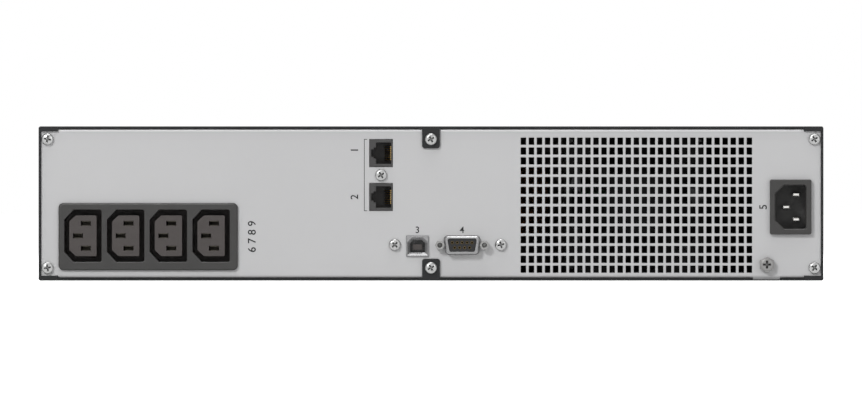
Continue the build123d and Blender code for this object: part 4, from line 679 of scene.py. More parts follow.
def solid_boxes(node: str) -> list[tuple[Vector, Vector]]:
    """The boxes of a frame node's separate solids, ordered by X and then Z.

    Args:
        node: the frame node's name.

    Returns:
        Lowest and highest corners, one pair for each solid.
    """
    bm = bmesh.new()
    bm.from_mesh(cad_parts[node].data)
    bmesh.ops.remove_doubles(bm, verts=bm.verts, dist=1e-6)
    bm.verts.ensure_lookup_table()
    seen: set[int] = set()
    boxes = []
    for start in bm.verts:
        if start.index in seen:
            continue
        stack = [start]
        seen.add(start.index)
        low, high = start.co.copy(), start.co.copy()
        while stack:
            vert = stack.pop()
            low = Vector(map(min, low, vert.co))
            high = Vector(map(max, high, vert.co))
            for edge in vert.link_edges:
                other = edge.other_vert(vert)
                if other.index not in seen:
                    seen.add(other.index)
                    stack.append(other)
        boxes.append((low, high))
    bm.free()
    return sorted(boxes, key=lambda b: (round(b[0].x, 4), b[0].z))


# ---------------------------------------------------------------- repeated shapes
# The rise from one turn of wire to the next, in wire radii: a little under two, so turns touch.
WIRE_STEP = 1.94


class Kind(Enum):
    """The socket kinds that a repeat tree's inputs use."""

    NUMBER = "NodeSocketFloat"
    COUNT = "NodeSocketInt"
    PLACE = "NodeSocketVector"
    PART = "NodeSocketObject"
    FINISH = "NodeSocketMaterial"


class RepeatTree(Graph):
    """A geometry node tree with named inputs, which makes one plain mesh."""

    def __init__(self, name: str, inputs: dict[str, Kind]) -> None:
        """Starts a tree.

        Args:
            name: the tree's name.
            inputs: input names and kinds; "Finish" is always added.
        """
        super().__init__(bpy.data.node_groups.new(name, "GeometryNodeTree"))
        face = self.tree.interface
        face.new_socket("Geometry", in_out="OUTPUT", socket_type="NodeSocketGeometry")
        face.new_socket("Geometry", in_out="INPUT", socket_type="NodeSocketGeometry")
        self.keys = {
            label: face.new_socket(label, in_out="INPUT", socket_type=kind.value).identifier
            for label, kind in {**inputs, "Finish": Kind.FINISH}.items()
        }
        self.entry = self.add("NodeGroupInput")
        self.exit = self.add("NodeGroupOutput")

    def given(self, label: str) -> Socket:
        """The named input's value inside the tree."""
        return self.entry.outputs[label]

    def part(self) -> Socket:
        """The part that the tree repeats, as one instance."""
        inputs = {"Object": self.given("Part"), "As Instance": True}
        return self.call("GeometryNodeObjectInfo", "Geometry", inputs)

    def copies(self, points: Socket, part: Socket, **extra: object) -> Socket:
        """The part on every point; extra inputs go by their own names."""
        return self.call("GeometryNodeInstanceOnPoints", 0, {"Points": points, "Instance": part, **extra})

    def centred(self, geometry: Socket) -> Socket:
        """The geometry moved to the tree's centre."""
        inputs = {"Geometry": geometry, "Translation": self.given("Centre")}
        return self.call("GeometryNodeTransform", 0, inputs)

    def end(self, geometry: Socket) -> None:
        """Makes the instances real, gives them the finish and ends the tree."""
        real = self.call("GeometryNodeRealizeInstances", 0, {0: geometry})
        inputs = {"Geometry": real, "Material": self.given("Finish")}
        self.feed(self.exit.inputs[0], self.call("GeometryNodeSetMaterial", 0, inputs))

    def grow(self, name: str, finish: Material, base: Mesh | None = None, **values: object) -> Piece:
        """Makes a piece with the tree and turns it into a plain mesh.

        Args:
            name: the piece's name.
            finish: the material that the tree sets.
            base: the mesh that enters the tree, if it reads one.
            **values: the inputs, by name with _ for a space.

        Returns:
            The piece, with no modifier left on it.
        """
        piece = new_piece(name, base or bpy.data.meshes.new(name))
        modifier = piece.modifiers.new("repeat", "NODES")
        modifier.node_group = self.tree
        for label, value in {**values, "Finish": finish}.items():
            modifier[self.keys[label.replace("_", " ")]] = value
        return settle(piece)


def fastener_tree() -> RepeatTree:
    """One fastener on each point of a mesh, aimed by the point and spun at random."""
    tree = RepeatTree("fasteners", {"Part": Kind.PART, "Spin": Kind.NUMBER, "Seed": Kind.COUNT})
    part = tree.part()
    named = {"Name": "aim"}
    aim = tree.call("GeometryNodeInputNamedAttribute", "Attribute", named, data_type="FLOAT_VECTOR")
    facing = tree.call("FunctionNodeEulerToRotation", 0, {0: aim})
    limit = tree.given("Spin")
    span = {2: tree.maths("MULTIPLY", limit, -1.0), 3: limit, "Seed": tree.given("Seed")}
    angle = tree.call("FunctionNodeRandomValue", 1, span, data_type="FLOAT")
    spin = tree.call("FunctionNodeAxisAngleToRotation", 0, {"Axis": (0, 0, 1), "Angle": angle})
    turn = tree.call("FunctionNodeRotateRotation", 0, {0: facing, 1: spin}, rotation_space="LOCAL")
    tree.end(tree.copies(tree.given("Geometry"), part, Rotation=turn))
    return tree


def round_tree() -> RepeatTree:
    """A part repeated evenly round the Y axis, then moved to a centre."""
    tree = RepeatTree("round", {"Part": Kind.PART, "Count": Kind.COUNT, "Centre": Kind.PLACE})
    part = tree.part()
    points = tree.call("GeometryNodePoints", 0, {"Count": tree.given("Count")})
    index = tree.call("GeometryNodeInputIndex", 0, {})
    share = tree.maths("DIVIDE", index, tree.given("Count"))
    angle = tree.maths("MULTIPLY", share, 2 * math.pi)
    turn = tree.call("FunctionNodeAxisAngleToRotation", 0, {"Axis": (0, 1, 0), "Angle": angle})
    tree.end(tree.centred(tree.copies(points, part, Rotation=turn)))
    return tree


def lattice_tree() -> RepeatTree:
    """A part repeated on an upright lattice of columns along X and rows along Z."""
    inputs = {"Part": Kind.PART, "Columns": Kind.COUNT, "Rows": Kind.COUNT, "Centre": Kind.PLACE}
    inputs |= dict.fromkeys(("Pitch X", "Pitch Z", "Stagger"), Kind.NUMBER)
    tree = RepeatTree("lattice", inputs)
    part = tree.part()
    columns, rows = tree.given("Columns"), tree.given("Rows")
    points = tree.call("GeometryNodePoints", 0, {"Count": tree.maths("MULTIPLY", columns, rows)})
    index = tree.call("GeometryNodeInputIndex", 0, {})
    row = tree.maths("FLOOR", tree.maths("DIVIDE", index, columns))
    column = tree.maths("SUBTRACT", index, tree.maths("MULTIPLY", row, columns))

    def along(number: Socket, count: Socket, pitch: str) -> Socket:
        """How far a row or column lies from the lattice's middle."""
        middle = tree.maths("DIVIDE", tree.maths("SUBTRACT", count, 1.0), 2.0)
        return tree.maths("MULTIPLY", tree.maths("SUBTRACT", number, middle), tree.given(pitch))

    odd = tree.maths("MODULO", row, 2.0)
    shift = tree.maths("MULTIPLY", tree.maths("SUBTRACT", odd, 0.5), tree.given("Stagger"))
    x = tree.maths("ADD", along(column, columns, "Pitch X"), shift)
    place = tree.call("ShaderNodeCombineXYZ", 0, {"X": x, "Z": along(row, rows, "Pitch Z")})
    placed = tree.call("GeometryNodeSetPosition", 0, {"Geometry": points, "Position": place})
    tree.end(tree.centred(tree.copies(placed, part)))
    return tree


def coil_tree() -> RepeatTree:
    """Turns of wire stacked round an upright bobbin."""
    inputs = dict.fromkeys(("Width", "Depth", "Corner", "Wire"), Kind.NUMBER)
    inputs |= {"Turns": Kind.COUNT, "Start": Kind.PLACE}
    tree = RepeatTree("coil", inputs)
    size = {"Width": tree.given("Width"), "Height": tree.given("Depth")}
    loop = tree.call("GeometryNodeCurvePrimitiveQuadrilateral", 0, size, mode="RECTANGLE")
    corner = {"Curve": loop, "Radius": tree.given("Corner"), "Count": 5}
    soft = tree.call("GeometryNodeFilletCurve", 0, corner, mode="POLY")
    gauge = {"Resolution": 8, "Radius": tree.given("Wire")}
    wire = tree.call("GeometryNodeCurvePrimitiveCircle", 0, gauge, mode="RADIUS")
    turn = tree.call("GeometryNodeCurveToMesh", 0, {"Curve": soft, "Profile Curve": wire})
    rise = tree.maths("MULTIPLY", tree.given("Wire"), WIRE_STEP)
    step = tree.call("ShaderNodeCombineXYZ", 0, {"Z": rise})
    line = {"Count": tree.given("Turns"), "Start Location": tree.given("Start"), "Offset": step}
    stack = tree.call("GeometryNodeMeshLine", 0, line, mode="OFFSET")
    tree.end(tree.copies(stack, turn))
    return tree


def seats(name: str, points: Iterable[tuple[Sequence[float], Facing]]) -> Mesh:
    """A mesh of loose points that says where fasteners sit and which way they face.

    Args:
        name: the mesh's name.
        points: places and facings.

    Returns:
        The mesh, with its "aim" attribute filled.
    """
    places = list(points)
    mesh = bpy.data.meshes.new(name)
    mesh.from_pydata([tuple(place) for place, _ in places], [], [])
    aim = mesh.attributes.new("aim", "FLOAT_VECTOR", "POINT")
    for entry, (_, facing) in zip(aim.data, places):
        entry.vector = facing.euler()
    return mesh


def combine(piece: Piece, tool: Piece, operation: str = "DIFFERENCE") -> None:
    """Cuts one closed mesh out of another, or joins the two, and removes the tool.

    Args:
        piece: the mesh that is changed.
        tool: a closed mesh that doesn't cross itself.
        operation: the boolean modifier's operation.
    """
    knife = piece.modifiers.new("knife", "BOOLEAN")
    knife.operation = operation
    knife.solver = "EXACT"
    knife.object = tool
    settle(piece)
    bpy.data.objects.remove(tool)
    if not piece.data.polygons:
        raise ValueError(f"{piece.name} came out empty")


def discard(*pieces: Piece) -> None:
    """Removes helper objects that no tree needs any more."""
    for piece in pieces:
        bpy.data.objects.remove(piece)


def bridge(bm: Draft, one: Sequence[bmesh.types.BMVert], two: Sequence[bmesh.types.BMVert]) -> None:
    """Joins two rings of vertices with a band of faces."""
    for i in range(len(one)):
        j = (i + 1) % len(one)
        bm.faces.new((one[i], one[j], two[j], two[i]))


def loft(bm: Draft, lower: Outline, upper: Outline, low: float, high: float, place: Matrix) -> None:
    """Adds a body between two outlines with the same number of corners.

    Args:
        bm: the mesh to add to.
        lower: the corners at the lower height.
        upper: the corners at the upper height.
        low: the lower height.
        high: the upper height.
        place: where the body's own axes go.
    """
    floor = [bm.verts.new(place @ Vector((x, y, low))) for x, y in lower]
    roof = [bm.verts.new(place @ Vector((x, y, high))) for x, y in upper]
    bm.faces.new(list(reversed(floor)))
    bm.faces.new(roof)
    bridge(bm, floor, roof)


def prism(bm: Draft, outline: Outline, low: float, high: float, place: Matrix) -> None:
    """Adds a straight-sided body between two heights over an outline."""
    loft(bm, outline, outline, low, high, place)


def strip(bm: Draft, outline: Outline, low: float, high: float, place: Matrix) -> None:
    """Adds a flat band whose outline runs out along one side and back along the other.

    Args:
        bm: the mesh to add to.
        outline: as many corners out as back, in order.
        low: the lower height.
        high: the upper height.
        place: where the band's own axes go.
    """
    count = len(outline)
    floor = [bm.verts.new(place @ Vector((x, y, low))) for x, y in outline]
    roof = [bm.verts.new(place @ Vector((x, y, high))) for x, y in outline]
    bridge(bm, floor, roof)
    for i in range(count // 2 - 1):
        a, b, c, d = i, i + 1, count - 2 - i, count - 1 - i
        bm.faces.new((roof[a], roof[b], roof[c], roof[d]))
        bm.faces.new((floor[d], floor[c], floor[b], floor[a]))


def arc(radius: float, angles: Iterable[float]) -> list[Point]:
    """The points at some angles on a circle."""
    return [(radius * math.cos(a), radius * math.sin(a)) for a in angles]


def polygon(sides: int, radius: float, turn: float = 0.0) -> list[Point]:
    """The corners of a regular polygon."""
    return arc(radius, [turn + 2 * math.pi * i / sides for i in range(sides)])


def plus(reach: float, half: float) -> list[Point]:
    """The corners of an upright cross with arms of one width."""
    corners = [(reach, -half), (reach, half), (half, half)]
    turns = ((1, 0), (0, 1), (-1, 0), (0, -1))
    return [(c * x - s * y, s * x + c * y) for c, s in turns for x, y in corners]


# ---------------------------------------------------------------- fasteners
@dataclass(frozen=True)
class PanHead:
    """A pan-head machine screw with a tapered cross recess and a real thread."""

    radius: float = 3.35 * MM
    height: float = 2.3 * MM
    shank: float = 1.75 * MM
    length: float = 7.0 * MM
    pitch: float = 0.7 * MM
    recess: float = 2.3 * MM
    arm: float = 0.5 * MM
    depth: float = 1.6 * MM
    steps: int = 36

    def profile(self) -> list[Point]:
        """Radius and height pairs of head and thread, from the crown down."""
        arc_steps = 7
        rim = 0.30 * self.height
        points = [(0.0, self.height)]
        for i in range(1, arc_steps + 1):
            angle = math.pi / 2 * i / arc_steps
            rise = (self.height - rim) * math.cos(angle) ** 0.8
            points.append((self.radius * math.sin(angle), rim + rise))
        points[-1] = (self.radius, rim)
        points += [(self.radius, 0.12 * MM), (self.radius - 0.12 * MM, 0.0)]
        root = self.shank - 0.35 * MM
        points.append((root, 0.0))
        ridges = int(self.length / self.pitch) - 1
        for i in range(ridges):
            top = -self.pitch * i
            for radius, share in ((root, 0.12), (self.shank, 0.5), (root, 0.88)):
                points.append((radius, top - share * self.pitch))
        end = -self.length
        return points + [(root, end + 0.3 * MM), (root - 0.4 * MM, end), (0.0, end)]

    def build(self, name: str) -> Piece:
        """Builds the screw with its seat at the origin and its head up."""
        screw = piece_from(name, lambda bm: turned(bm, self.profile(), Matrix(), self.steps))

        def cross(bm: Draft) -> None:
            tip = plus(self.recess * 0.5, self.arm * 0.6)
            bottom, top = self.height - self.depth, self.height + 0.2 * MM
            loft(bm, tip, plus(self.recess, self.arm), bottom, top, Matrix())

        combine(screw, piece_from("cross", cross))
        return rounded(screw, 0.06 * MM, 2, 35)


@dataclass
class Fasteners:
    """The screws that are built again: rear and inner pan heads and the earth screw."""

    paint: Paint
    rear_head: PanHead = PanHead()
    inner_head: PanHead = PanHead(3.9 * MM, 2.6 * MM, 1.95 * MM, 8.0 * MM, steps=20)
    spin: float = math.radians(50)
    earth_shank: float = 2.45 * MM
    earth_length: float = 8.0 * MM
    earth_collar: float = 0.6 * MM
    earth_recess: float = 2.4 * MM
    earth_recess_depth: float = 1.9 * MM

    def rear(self, tree: RepeatTree) -> None:
        """Puts the rear pan heads on their seats."""
        places = []
        for low, high in solid_boxes("rear_screws"):
            middle = (low + high) / 2
            places.append(((middle.x, low.y + self.rear_head.height, middle.z), Facing.REAR))
        self.spread(tree, "rear", self.rear_head, places, "bright_zinc", 11)

    def inner(self, tree: RepeatTree) -> None:
        """Puts the inner pan heads on their seats, upright ones and those in the fan's frame."""
        height = self.inner_head.height
        places = []
        for low, high in solid_boxes("inner_screws"):
            middle = (low + high) / 2
            if high.z - low.z > high.y - low.y:
                places.append(((middle.x, middle.y, high.z - height), Facing.UP))
            else:
                places.append(((middle.x, high.y - height, middle.z), Facing.FRONT))
        self.spread(tree, "inner", self.inner_head, places, "inner_zinc", 5)

    def spread(
        self, tree: RepeatTree, group: str, head: PanHead,
        places: Sequence[tuple[Sequence[float], Facing]], finish: str, seed: int,
    ) -> None:
        """Puts one head on each seat of a group, in place of that group's node."""
        part = head.build(f"{group}_head")
        base = seats(f"{group}_seats", places)
        name = f"{group}_pan_heads"
        piece = tree.grow(name, self.paint.get(finish), base, Part=part, Spin=self.spin, Seed=seed)
        place_on(piece, "case", "bright_screws", f"{group}_screws")
        discard(part)

    def earth(self) -> None:
        """Builds the earth screw: hexagon head with a raised crown, collar and cross."""
        low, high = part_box("earth_screw")
        middle = (low + high) / 2
        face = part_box("rear_panel")[0].y
        place = Facing.REAR.place((middle.x, face, middle.z))
        head = face - low.y
        across = high.z - low.z
        flat = (high.x - low.x) / 2
        collar = min(flat, across / 2)

        def body(bm: Draft) -> None:
            corner = max(across, high.x - low.x) / 2
            start = math.radians(90) if across > high.x - low.x else 0.0
            prism(bm, polygon(6, corner, start), self.earth_collar, head - 0.5 * MM, place)

        hexagon = rounded(piece_from("earth_hexagon", body), 0.35 * MM, 3)

        def crown(bm: Draft) -> None:
            shank, end = self.earth_shank, -self.earth_length
            profile = [
                (0.0, head),
                (collar * 0.62, head),
                (collar * 0.84, head - 0.28 * MM),
                (collar * 0.9, head - 0.8 * MM),
                (collar * 0.9, self.earth_collar + 0.1 * MM),
                (collar, self.earth_collar),
                (collar, 0.1 * MM),
                (collar - 0.1 * MM, 0.0),
                (shank, 0.0),
                (shank, end),
                (shank - 0.5 * MM, end - 0.6 * MM),
                (0.0, end - 0.6 * MM),
            ]
            turned(bm, profile, place, 48)

        combine(hexagon, piece_from("earth_crown", crown), "UNION")

        def cross(bm: Draft) -> None:
            tip, mouth = plus(1.3 * MM, 0.4 * MM), plus(self.earth_recess, 0.6 * MM)
            loft(bm, tip, mouth, head - self.earth_recess_depth, head + 0.3 * MM, place)

        combine(hexagon, piece_from("earth_cross", cross))
        shaded(hexagon)
        hexagon.name = "earth_hex_screw"
        self.paint.put(hexagon, "dull_nickel", "case", "dull_steel", "earth_screw")


# ---------------------------------------------------------------- print
@dataclass(frozen=True)
class Mark:
    """One printed number: what it says, where, how tall, and how far it is turned."""

    text: str
    x: float
    z: float
    height: float
    turn: float = 0.0


@dataclass
class PanelPrint:
    """Plain numbers and rules printed on the rear panel."""

    paint: Paint
    thickness: float = 0.05 * MM
    weight: float = 0.055 * MM
    marks: tuple[Mark, ...] = (
        Mark("1", -42.7 * MM, 73.2 * MM, 4.2 * MM, 90),
        Mark("2", -42.7 * MM, 46.9 * MM, 4.2 * MM, 90),
        Mark("3", -7.6 * MM, 28.3 * MM, 3.6 * MM),
        Mark("4", 17.4 * MM, 28.3 * MM, 3.6 * MM),
        Mark("5", 186.4 * MM, 41.3 * MM, 4.2 * MM, 90),
        Mark("6 7 8 9", -100.2 * MM, 24.7 * MM, 4.4 * MM, 90),
    )
    rule_x: float = -37.4 * MM
    rule_z: tuple[float, float] = (39.0 * MM, 79.4 * MM)
    rule_w: float = 0.35 * MM

    def build(self) -> None:
        """Builds the numbers and the bracket rule beside the jacks as one piece."""
        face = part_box("rear_panel")[0].y
        made = [self.number(mark, face) for mark in self.marks]
        ink = piece_from("panel_print", lambda bm: self.fill(bm, made, face))
        discard(*made)
        self.paint.put(ink, "print_ink", "case", "grey_panel")

    def number(self, mark: Mark, face: float) -> Piece:
        """One number as a thin closed mesh lying on the panel."""
        text = bpy.data.curves.new("number", "FONT")
        text.body = mark.text
        text.size = mark.height / 0.70
        text.align_x = "CENTER"
        text.align_y = "CENTER"
        text.extrude = self.thickness
        text.offset = self.weight
        text.resolution_u = 6
        holder = bpy.data.objects.new("number", text)
        bpy.context.scene.collection.objects.link(holder)
        turn = Matrix.Rotation(math.radians(mark.turn), 4, "Z")
        holder.matrix_world = Facing.REAR.place((mark.x, face, mark.z)) @ turn
        return settle(holder)

    def fill(self, bm: Draft, numbers: Sequence[Piece], face: float) -> None:
        """Joins the numbers and the bracket rule in one mesh."""
        for number in numbers:
            bm.from_mesh(number.data)
        bmesh.ops.remove_doubles(bm, verts=bm.verts, dist=0.001 * MM)
        half = self.rule_w / 2
        z0, z1 = self.rule_z
        back = face + self.thickness
        front = face - self.thickness
        block(bm, Vector((self.rule_x - half, front, z0)), Vector((self.rule_x + half, back, z1)))
        inner, outer = self.rule_x + half, self.rule_x + 1.6 * MM
        for z in (z0 + half, z1 - half):
            block(bm, Vector((inner, front, z - half)), Vector((outer, back, z + half)))


# ---------------------------------------------------------------- fan
@dataclass
class Fan:
    """The fan's rotor: seven twisted blades on a capped hub."""

    paint: Paint
    blades: int = 7
    hub_r: float = 18.0 * MM
    tip_r: float = 37.3 * MM
    root_angle: float = 56.0
    tip_angle: float = 33.0
    root_chord: float = 19.0 * MM
    tip_chord: float = 27.0 * MM
    camber: float = 0.09
    thickness: float = 1.5 * MM

    def blade(self) -> Piece:
        """One blade along +Z, twisted from hub to tip, with a rounded section."""
        spans, chords = 14, 16
        low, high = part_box("fan_impeller")
        room = (high.y - low.y) / 2 - 0.4 * MM

        def body(bm: Draft) -> None:
            sections = []
            for i in range(spans + 1):
                share = i / spans
                radius = self.hub_r - 1.2 * MM + (self.tip_r - self.hub_r + 1.2 * MM) * share
                angle = math.radians(self.root_angle + (self.tip_angle - self.root_angle) * share)
                chord = self.root_chord + (self.tip_chord - self.root_chord) * share
                chord = min(chord, 2 * room / math.sin(angle))
                sections.append(self.section(bm, radius, angle, chord, chords, share))
            for one, two in zip(sections, sections[1:]):
                bridge(bm, one, two)
            bm.faces.new(sections[0])
            bm.faces.new(list(reversed(sections[-1])))

        return shaded(piece_from("blade", body), 50.0)

    def section(
        self, bm: Draft, radius: float, angle: float, chord: float, steps: int, share: float
    ) -> list[bmesh.types.BMVert]:
        """One closed aerofoil section wrapped on a cylinder round the fan's axis."""
        skew = 0.16 * share * share
        loop = []
        for j in range(2 * steps):
            upper = j < steps
            along = j / steps if upper else 2 - j / steps
            round_off = math.sin(math.pi * min(1, max(0, along))) ** 0.5
            half = self.thickness / 2 * (1.25 - 0.5 * share) * round_off
            lift = self.camber * chord * math.sin(math.pi * along)
            across = lift + (half if upper else -half)
            run = (along - 0.5) * chord
            y = run * math.sin(angle) - across * math.cos(angle)
            sweep = run * math.cos(angle) + across * math.sin(angle)
            turn = sweep / max(radius, self.hub_r) + skew
            loop.append(bm.verts.new((radius * math.sin(turn), y, radius * math.cos(turn))))
        return loop

    def build(self, tree: RepeatTree) -> None:
        """Builds blades and hub as two pieces on the rotor."""
        low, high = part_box("fan_impeller")
        centre = (low + high) / 2
        blade = self.blade()
        finish = self.paint.get("fan_moulding")
        fins = tree.grow("fan_blades", finish, Part=blade, Count=self.blades, Centre=tuple(centre))
        place_on(fins, "fan_rotor", "black_plastic", "fan_impeller")
        discard(blade)
        depth = high.y - low.y
        rim, wall, bore = self.hub_r, 1.6 * MM, 1.55 * MM
        profile = [
            (0.0, depth),
            (rim - 6 * MM, depth),
            (rim - 5 * MM, depth - 0.4 * MM),
            (rim - 2.2 * MM, depth - 0.4 * MM),
            (rim - 0.6 * MM, depth - 0.9 * MM),
            (rim, depth - 2.2 * MM),
            (rim, 0.2 * MM),
            (rim - 0.2 * MM, 0.0),
            (rim - wall, 0.0),
            (rim - wall, depth - wall),
            (3.0 * MM, depth - wall),
            (3.0 * MM, depth - wall - 2 * MM),
            (bore, depth - wall - 2 * MM),
            (bore, depth - 0.8 * MM),
            (0.0, depth - 0.8 * MM),
        ]
        place = Facing.FRONT.place((centre.x, low.y, centre.z))
        hub = piece_from("fan_hub", lambda bm: turned(bm, profile, place, 64))
        self.paint.put(shaded(hub), "fan_moulding", "fan_rotor", "black_plastic", "fan_impeller")


# ---------------------------------------------------------------- front
@dataclass
class ThumbScrews:
    """The battery door's two captive thumbscrews, knurled and slotted."""

    paint: Paint
    ridges: int = 32
    slot_w: float = 1.2 * MM
    slot_deep: float = 0.9 * MM
    head: float = 8.0 * MM
    shank: float = 1.95 * MM
    pitch: float = 0.7 * MM

    def build(self, tree: RepeatTree) -> None:
        """Builds each screw and its knurl."""
        for side in ("left", "right"):
            self.one(f"thumb_screw_{side}", f"thumb_screw_{side[0]}", tree)

    def one(self, node: str, body: str, tree: RepeatTree) -> None:
        """Builds one screw in place of its node."""
        low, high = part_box(node)
        centre = (low + high) / 2
        outer = (high.x - low.x) / 2
        core = outer - 0.35 * MM
        length = high.y - low.y
        head, shank, pitch = self.head, self.shank, self.pitch
        root = shank - 0.3 * MM
        profile = [
            (0.0, length),
            (core * 0.72, length),
            (core * 0.78, length - 0.15 * MM),
            (core - 0.35 * MM, length - 0.15 * MM),
            (core, length - 0.5 * MM),
            (core, length - head + 0.9 * MM),
            (core - 0.6 * MM, length - head + 0.4 * MM),
            (core - 0.6 * MM, length - head),
            (shank, length - head),
            (shank, length - head - 6 * MM),
        ]
        height = length - head - 6 * MM
        while height > 2 * pitch:
            for radius, share in ((root, 0.2), (shank, 0.6), (root, 1.0)):
                profile.append((radius, height - share * pitch))
            height -= pitch
        profile += [(root, height - 0.3 * MM), (root - 0.5 * MM, 0.0), (0.0, 0.0)]
        place = Facing.FRONT.place((centre.x, low.y, centre.z))
        screw = piece_from(node + "_core", lambda bm: turned(bm, profile, place, 48))

        def slot(bm: Draft) -> None:
            block(
                bm,
                Vector((centre.x - outer, high.y - self.slot_deep, centre.z - self.slot_w / 2)),
                Vector((centre.x + outer, high.y + self.slot_deep, centre.z + self.slot_w / 2)),
            )

        combine(screw, piece_from("slot", slot))
        rounded(screw, 0.08 * MM, 2, 35)
        self.paint.put(screw, "bright_zinc", body, "bright_screws", node)
        span = head - 1.6 * MM

        def ridge(bm: Draft) -> None:
            half = 0.33 * MM
            crest, foot = 0.12 * MM, core - 0.1 * MM
            outline = [(-half, foot), (half, foot), (crest, outer), (-crest, outer)]
            turn = Matrix.Rotation(math.radians(90), 4, "X")
            prism(bm, outline, -span / 2, span / 2, turn)

        part = piece_from("ridge", ridge)
        middle = (centre.x, high.y - 0.75 * MM - span / 2, centre.z)
        values = {"Part": part, "Count": self.ridges, "Centre": middle}
        knurl = tree.grow(node + "_knurl", self.paint.get("bright_zinc"), **values)
        place_on(knurl, body, "bright_screws", node)
        discard(part)


@dataclass
class FrontPanel:
    """What the front moulding shows: intake mesh, display figures, lamps and key marks."""

    paint: Paint
    intake_x: float = 12.0 * MM
    intake_columns: int = 17
    intake_rows: int = 26
    intake_cell: float = 1.62 * MM
    intake_wall: float = 0.32 * MM
    intake_depth: float = 1.0 * MM
    intake_back: float = 4.2 * MM
    lamps: int = 4
    lamp_pitch: float = 9.0 * MM
    lamp_drop: float = 9 * MM
    figures: str = "230"
    figure_h: float = 11.0 * MM
    figure_gap: float = 3.2 * MM
    figure_thick: float = 0.08 * MM
    level_x: float = 31 * MM
    level_pitch: float = 3.6 * MM
    level_rows: int = 5

    def build(self, lattice: RepeatTree) -> None:
        """Builds every piece of the front."""
        self.intake(lattice)
        self.display(lattice)
        self.status(lattice)
        self.marks()

    def repeat(
        self, lattice: RepeatTree, name: str, finish: str, part: Piece, size: tuple[int, int],
        pitches: Point, centre: Sequence[float], stagger: float = 0.0,
    ) -> Piece:
        """Repeats a part on a lattice: its size in columns and rows, and the pitch of each."""
        return lattice.grow(
            name,
            self.paint.get(finish),
            Part=part,
            Columns=size[0],
            Rows=size[1],
            Pitch_X=pitches[0],
            Pitch_Z=pitches[1],
            Stagger=stagger,
            Centre=centre,
        )

    def intake(self, lattice: RepeatTree) -> None:
        """Honeycomb mesh close behind the louvres."""
        low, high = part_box("bezel")

        def cell(bm: Draft) -> None:
            outer = polygon(6, self.intake_cell, math.pi / 6)
            inner = polygon(6, self.intake_cell - self.intake_wall, math.pi / 6)
            half = self.intake_depth / 2
            rings = []
            for outline, side in ((outer, -1), (outer, 1), (inner, 1), (inner, -1)):
                rings.append([bm.verts.new((x, side * half, z)) for x, z in outline])
            for one, two in zip(rings, rings[1:] + rings[:1]):
                bridge(bm, one, two)

        part = piece_from("cell", cell)
        pitch = self.intake_cell * math.sqrt(3)
        centre = (self.intake_x, high.y - self.intake_back, (low.z + high.z) / 2)
        size = (self.intake_columns, self.intake_rows)
        pitches = (pitch, self.intake_cell * 1.5)
        mesh = self.repeat(lattice, "intake_mesh", "black_moulding", part, size, pitches, centre, pitch / 2)
        place_on(mesh, "case", "black_plastic")
        discard(part)

    def segment(self, bm: Draft, x: float, z: float, length: float, upright: bool, face: float) -> None:
        """One pointed bar of a seven-bar figure."""
        half = 0.62 * MM
        tip = length / 2
        neck = tip - half
        outline = [(-tip, 0), (-neck, half), (neck, half), (tip, 0), (neck, -half), (-neck, -half)]
        if upright:
            outline = [(b, a) for a, b in outline]
        prism(bm, outline, 0.0, self.figure_thick, Facing.FRONT.place((x, face, z)))

    def display(self, lattice: RepeatTree) -> None:
        """Figures and level bars on the display's face."""
        low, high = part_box("display_module")
        face = high.y
        centre = (low + high) / 2
        lit = {"0": "abcdef", "2": "abged", "3": "abgcd"}
        width = self.figure_h * 0.55
        bar = self.figure_h / 2 - 0.5 * MM

        def figures(bm: Draft) -> None:
            for place, figure in enumerate(self.figures):
                x = centre.x - (place - 1) * (width + self.figure_gap)
                z = centre.z
                h = self.figure_h / 2
                spots = {
                    "a": (x, z + h, False),
                    "g": (x, z, False),
                    "d": (x, z - h, False),
                    "b": (x - width / 2, z + h / 2, True),
                    "c": (x - width / 2, z - h / 2, True),
                    "f": (x + width / 2, z + h / 2, True),
                    "e": (x + width / 2, z - h / 2, True),
                }
                for letter in lit[figure]:
                    sx, sz, upright = spots[letter]
                    self.segment(bm, sx, sz, bar if upright else width - 0.6 * MM, upright, face)

        self.paint.put(piece_from("display_figures", figures), "segments", "case", "display_panel")

        def bar_block(bm: Draft) -> None:
            reach = Vector((3.4 * MM, 0, 1.1 * MM))
            block(bm, -reach, reach + Vector((0, self.figure_thick, 0)))

        part = piece_from("bar", bar_block)
        for name, side in (("load_bars", 1), ("charge_bars", -1)):
            middle = (centre.x + side * self.level_x, face, centre.z)
            pitches = (1.0, self.level_pitch)
            bars = self.repeat(lattice, name, "segments", part, (1, self.level_rows), pitches, middle)
            place_on(bars, "case", "display_panel")
        discard(part)

    def status(self, lattice: RepeatTree) -> None:
        """A row of small domed lamps below the display."""
        window_low, window_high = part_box("display_window")
        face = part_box("bezel")[1].y

        def lens(bm: Draft) -> None:
            profile = [
                (0, 0.55 * MM),
                (0.6 * MM, 0.5 * MM),
                (1.1 * MM, 0.3 * MM),
                (1.35 * MM, 0.0),
                (1.35 * MM, -1.5 * MM),
                (0, -1.5 * MM),
            ]
            turned(bm, profile, Facing.FRONT.place((0, 0, 0)), 24)

        part = shaded(piece_from("lens", lens), 60.0)
        middle = ((window_low.x + window_high.x) / 2, face, window_low.z - self.lamp_drop)
        pitches = (self.lamp_pitch, 1.0)
        lamps = self.repeat(lattice, "status_lamps", "status_lamp", part, (self.lamps, 1), pitches, middle)
        place_on(lamps, "case", "display_panel")
        discard(part)

    def marks(self) -> None:
        """The power mark on its button."""
        low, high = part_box("power_button")
        centre = (low + high) / 2
        face = high.y

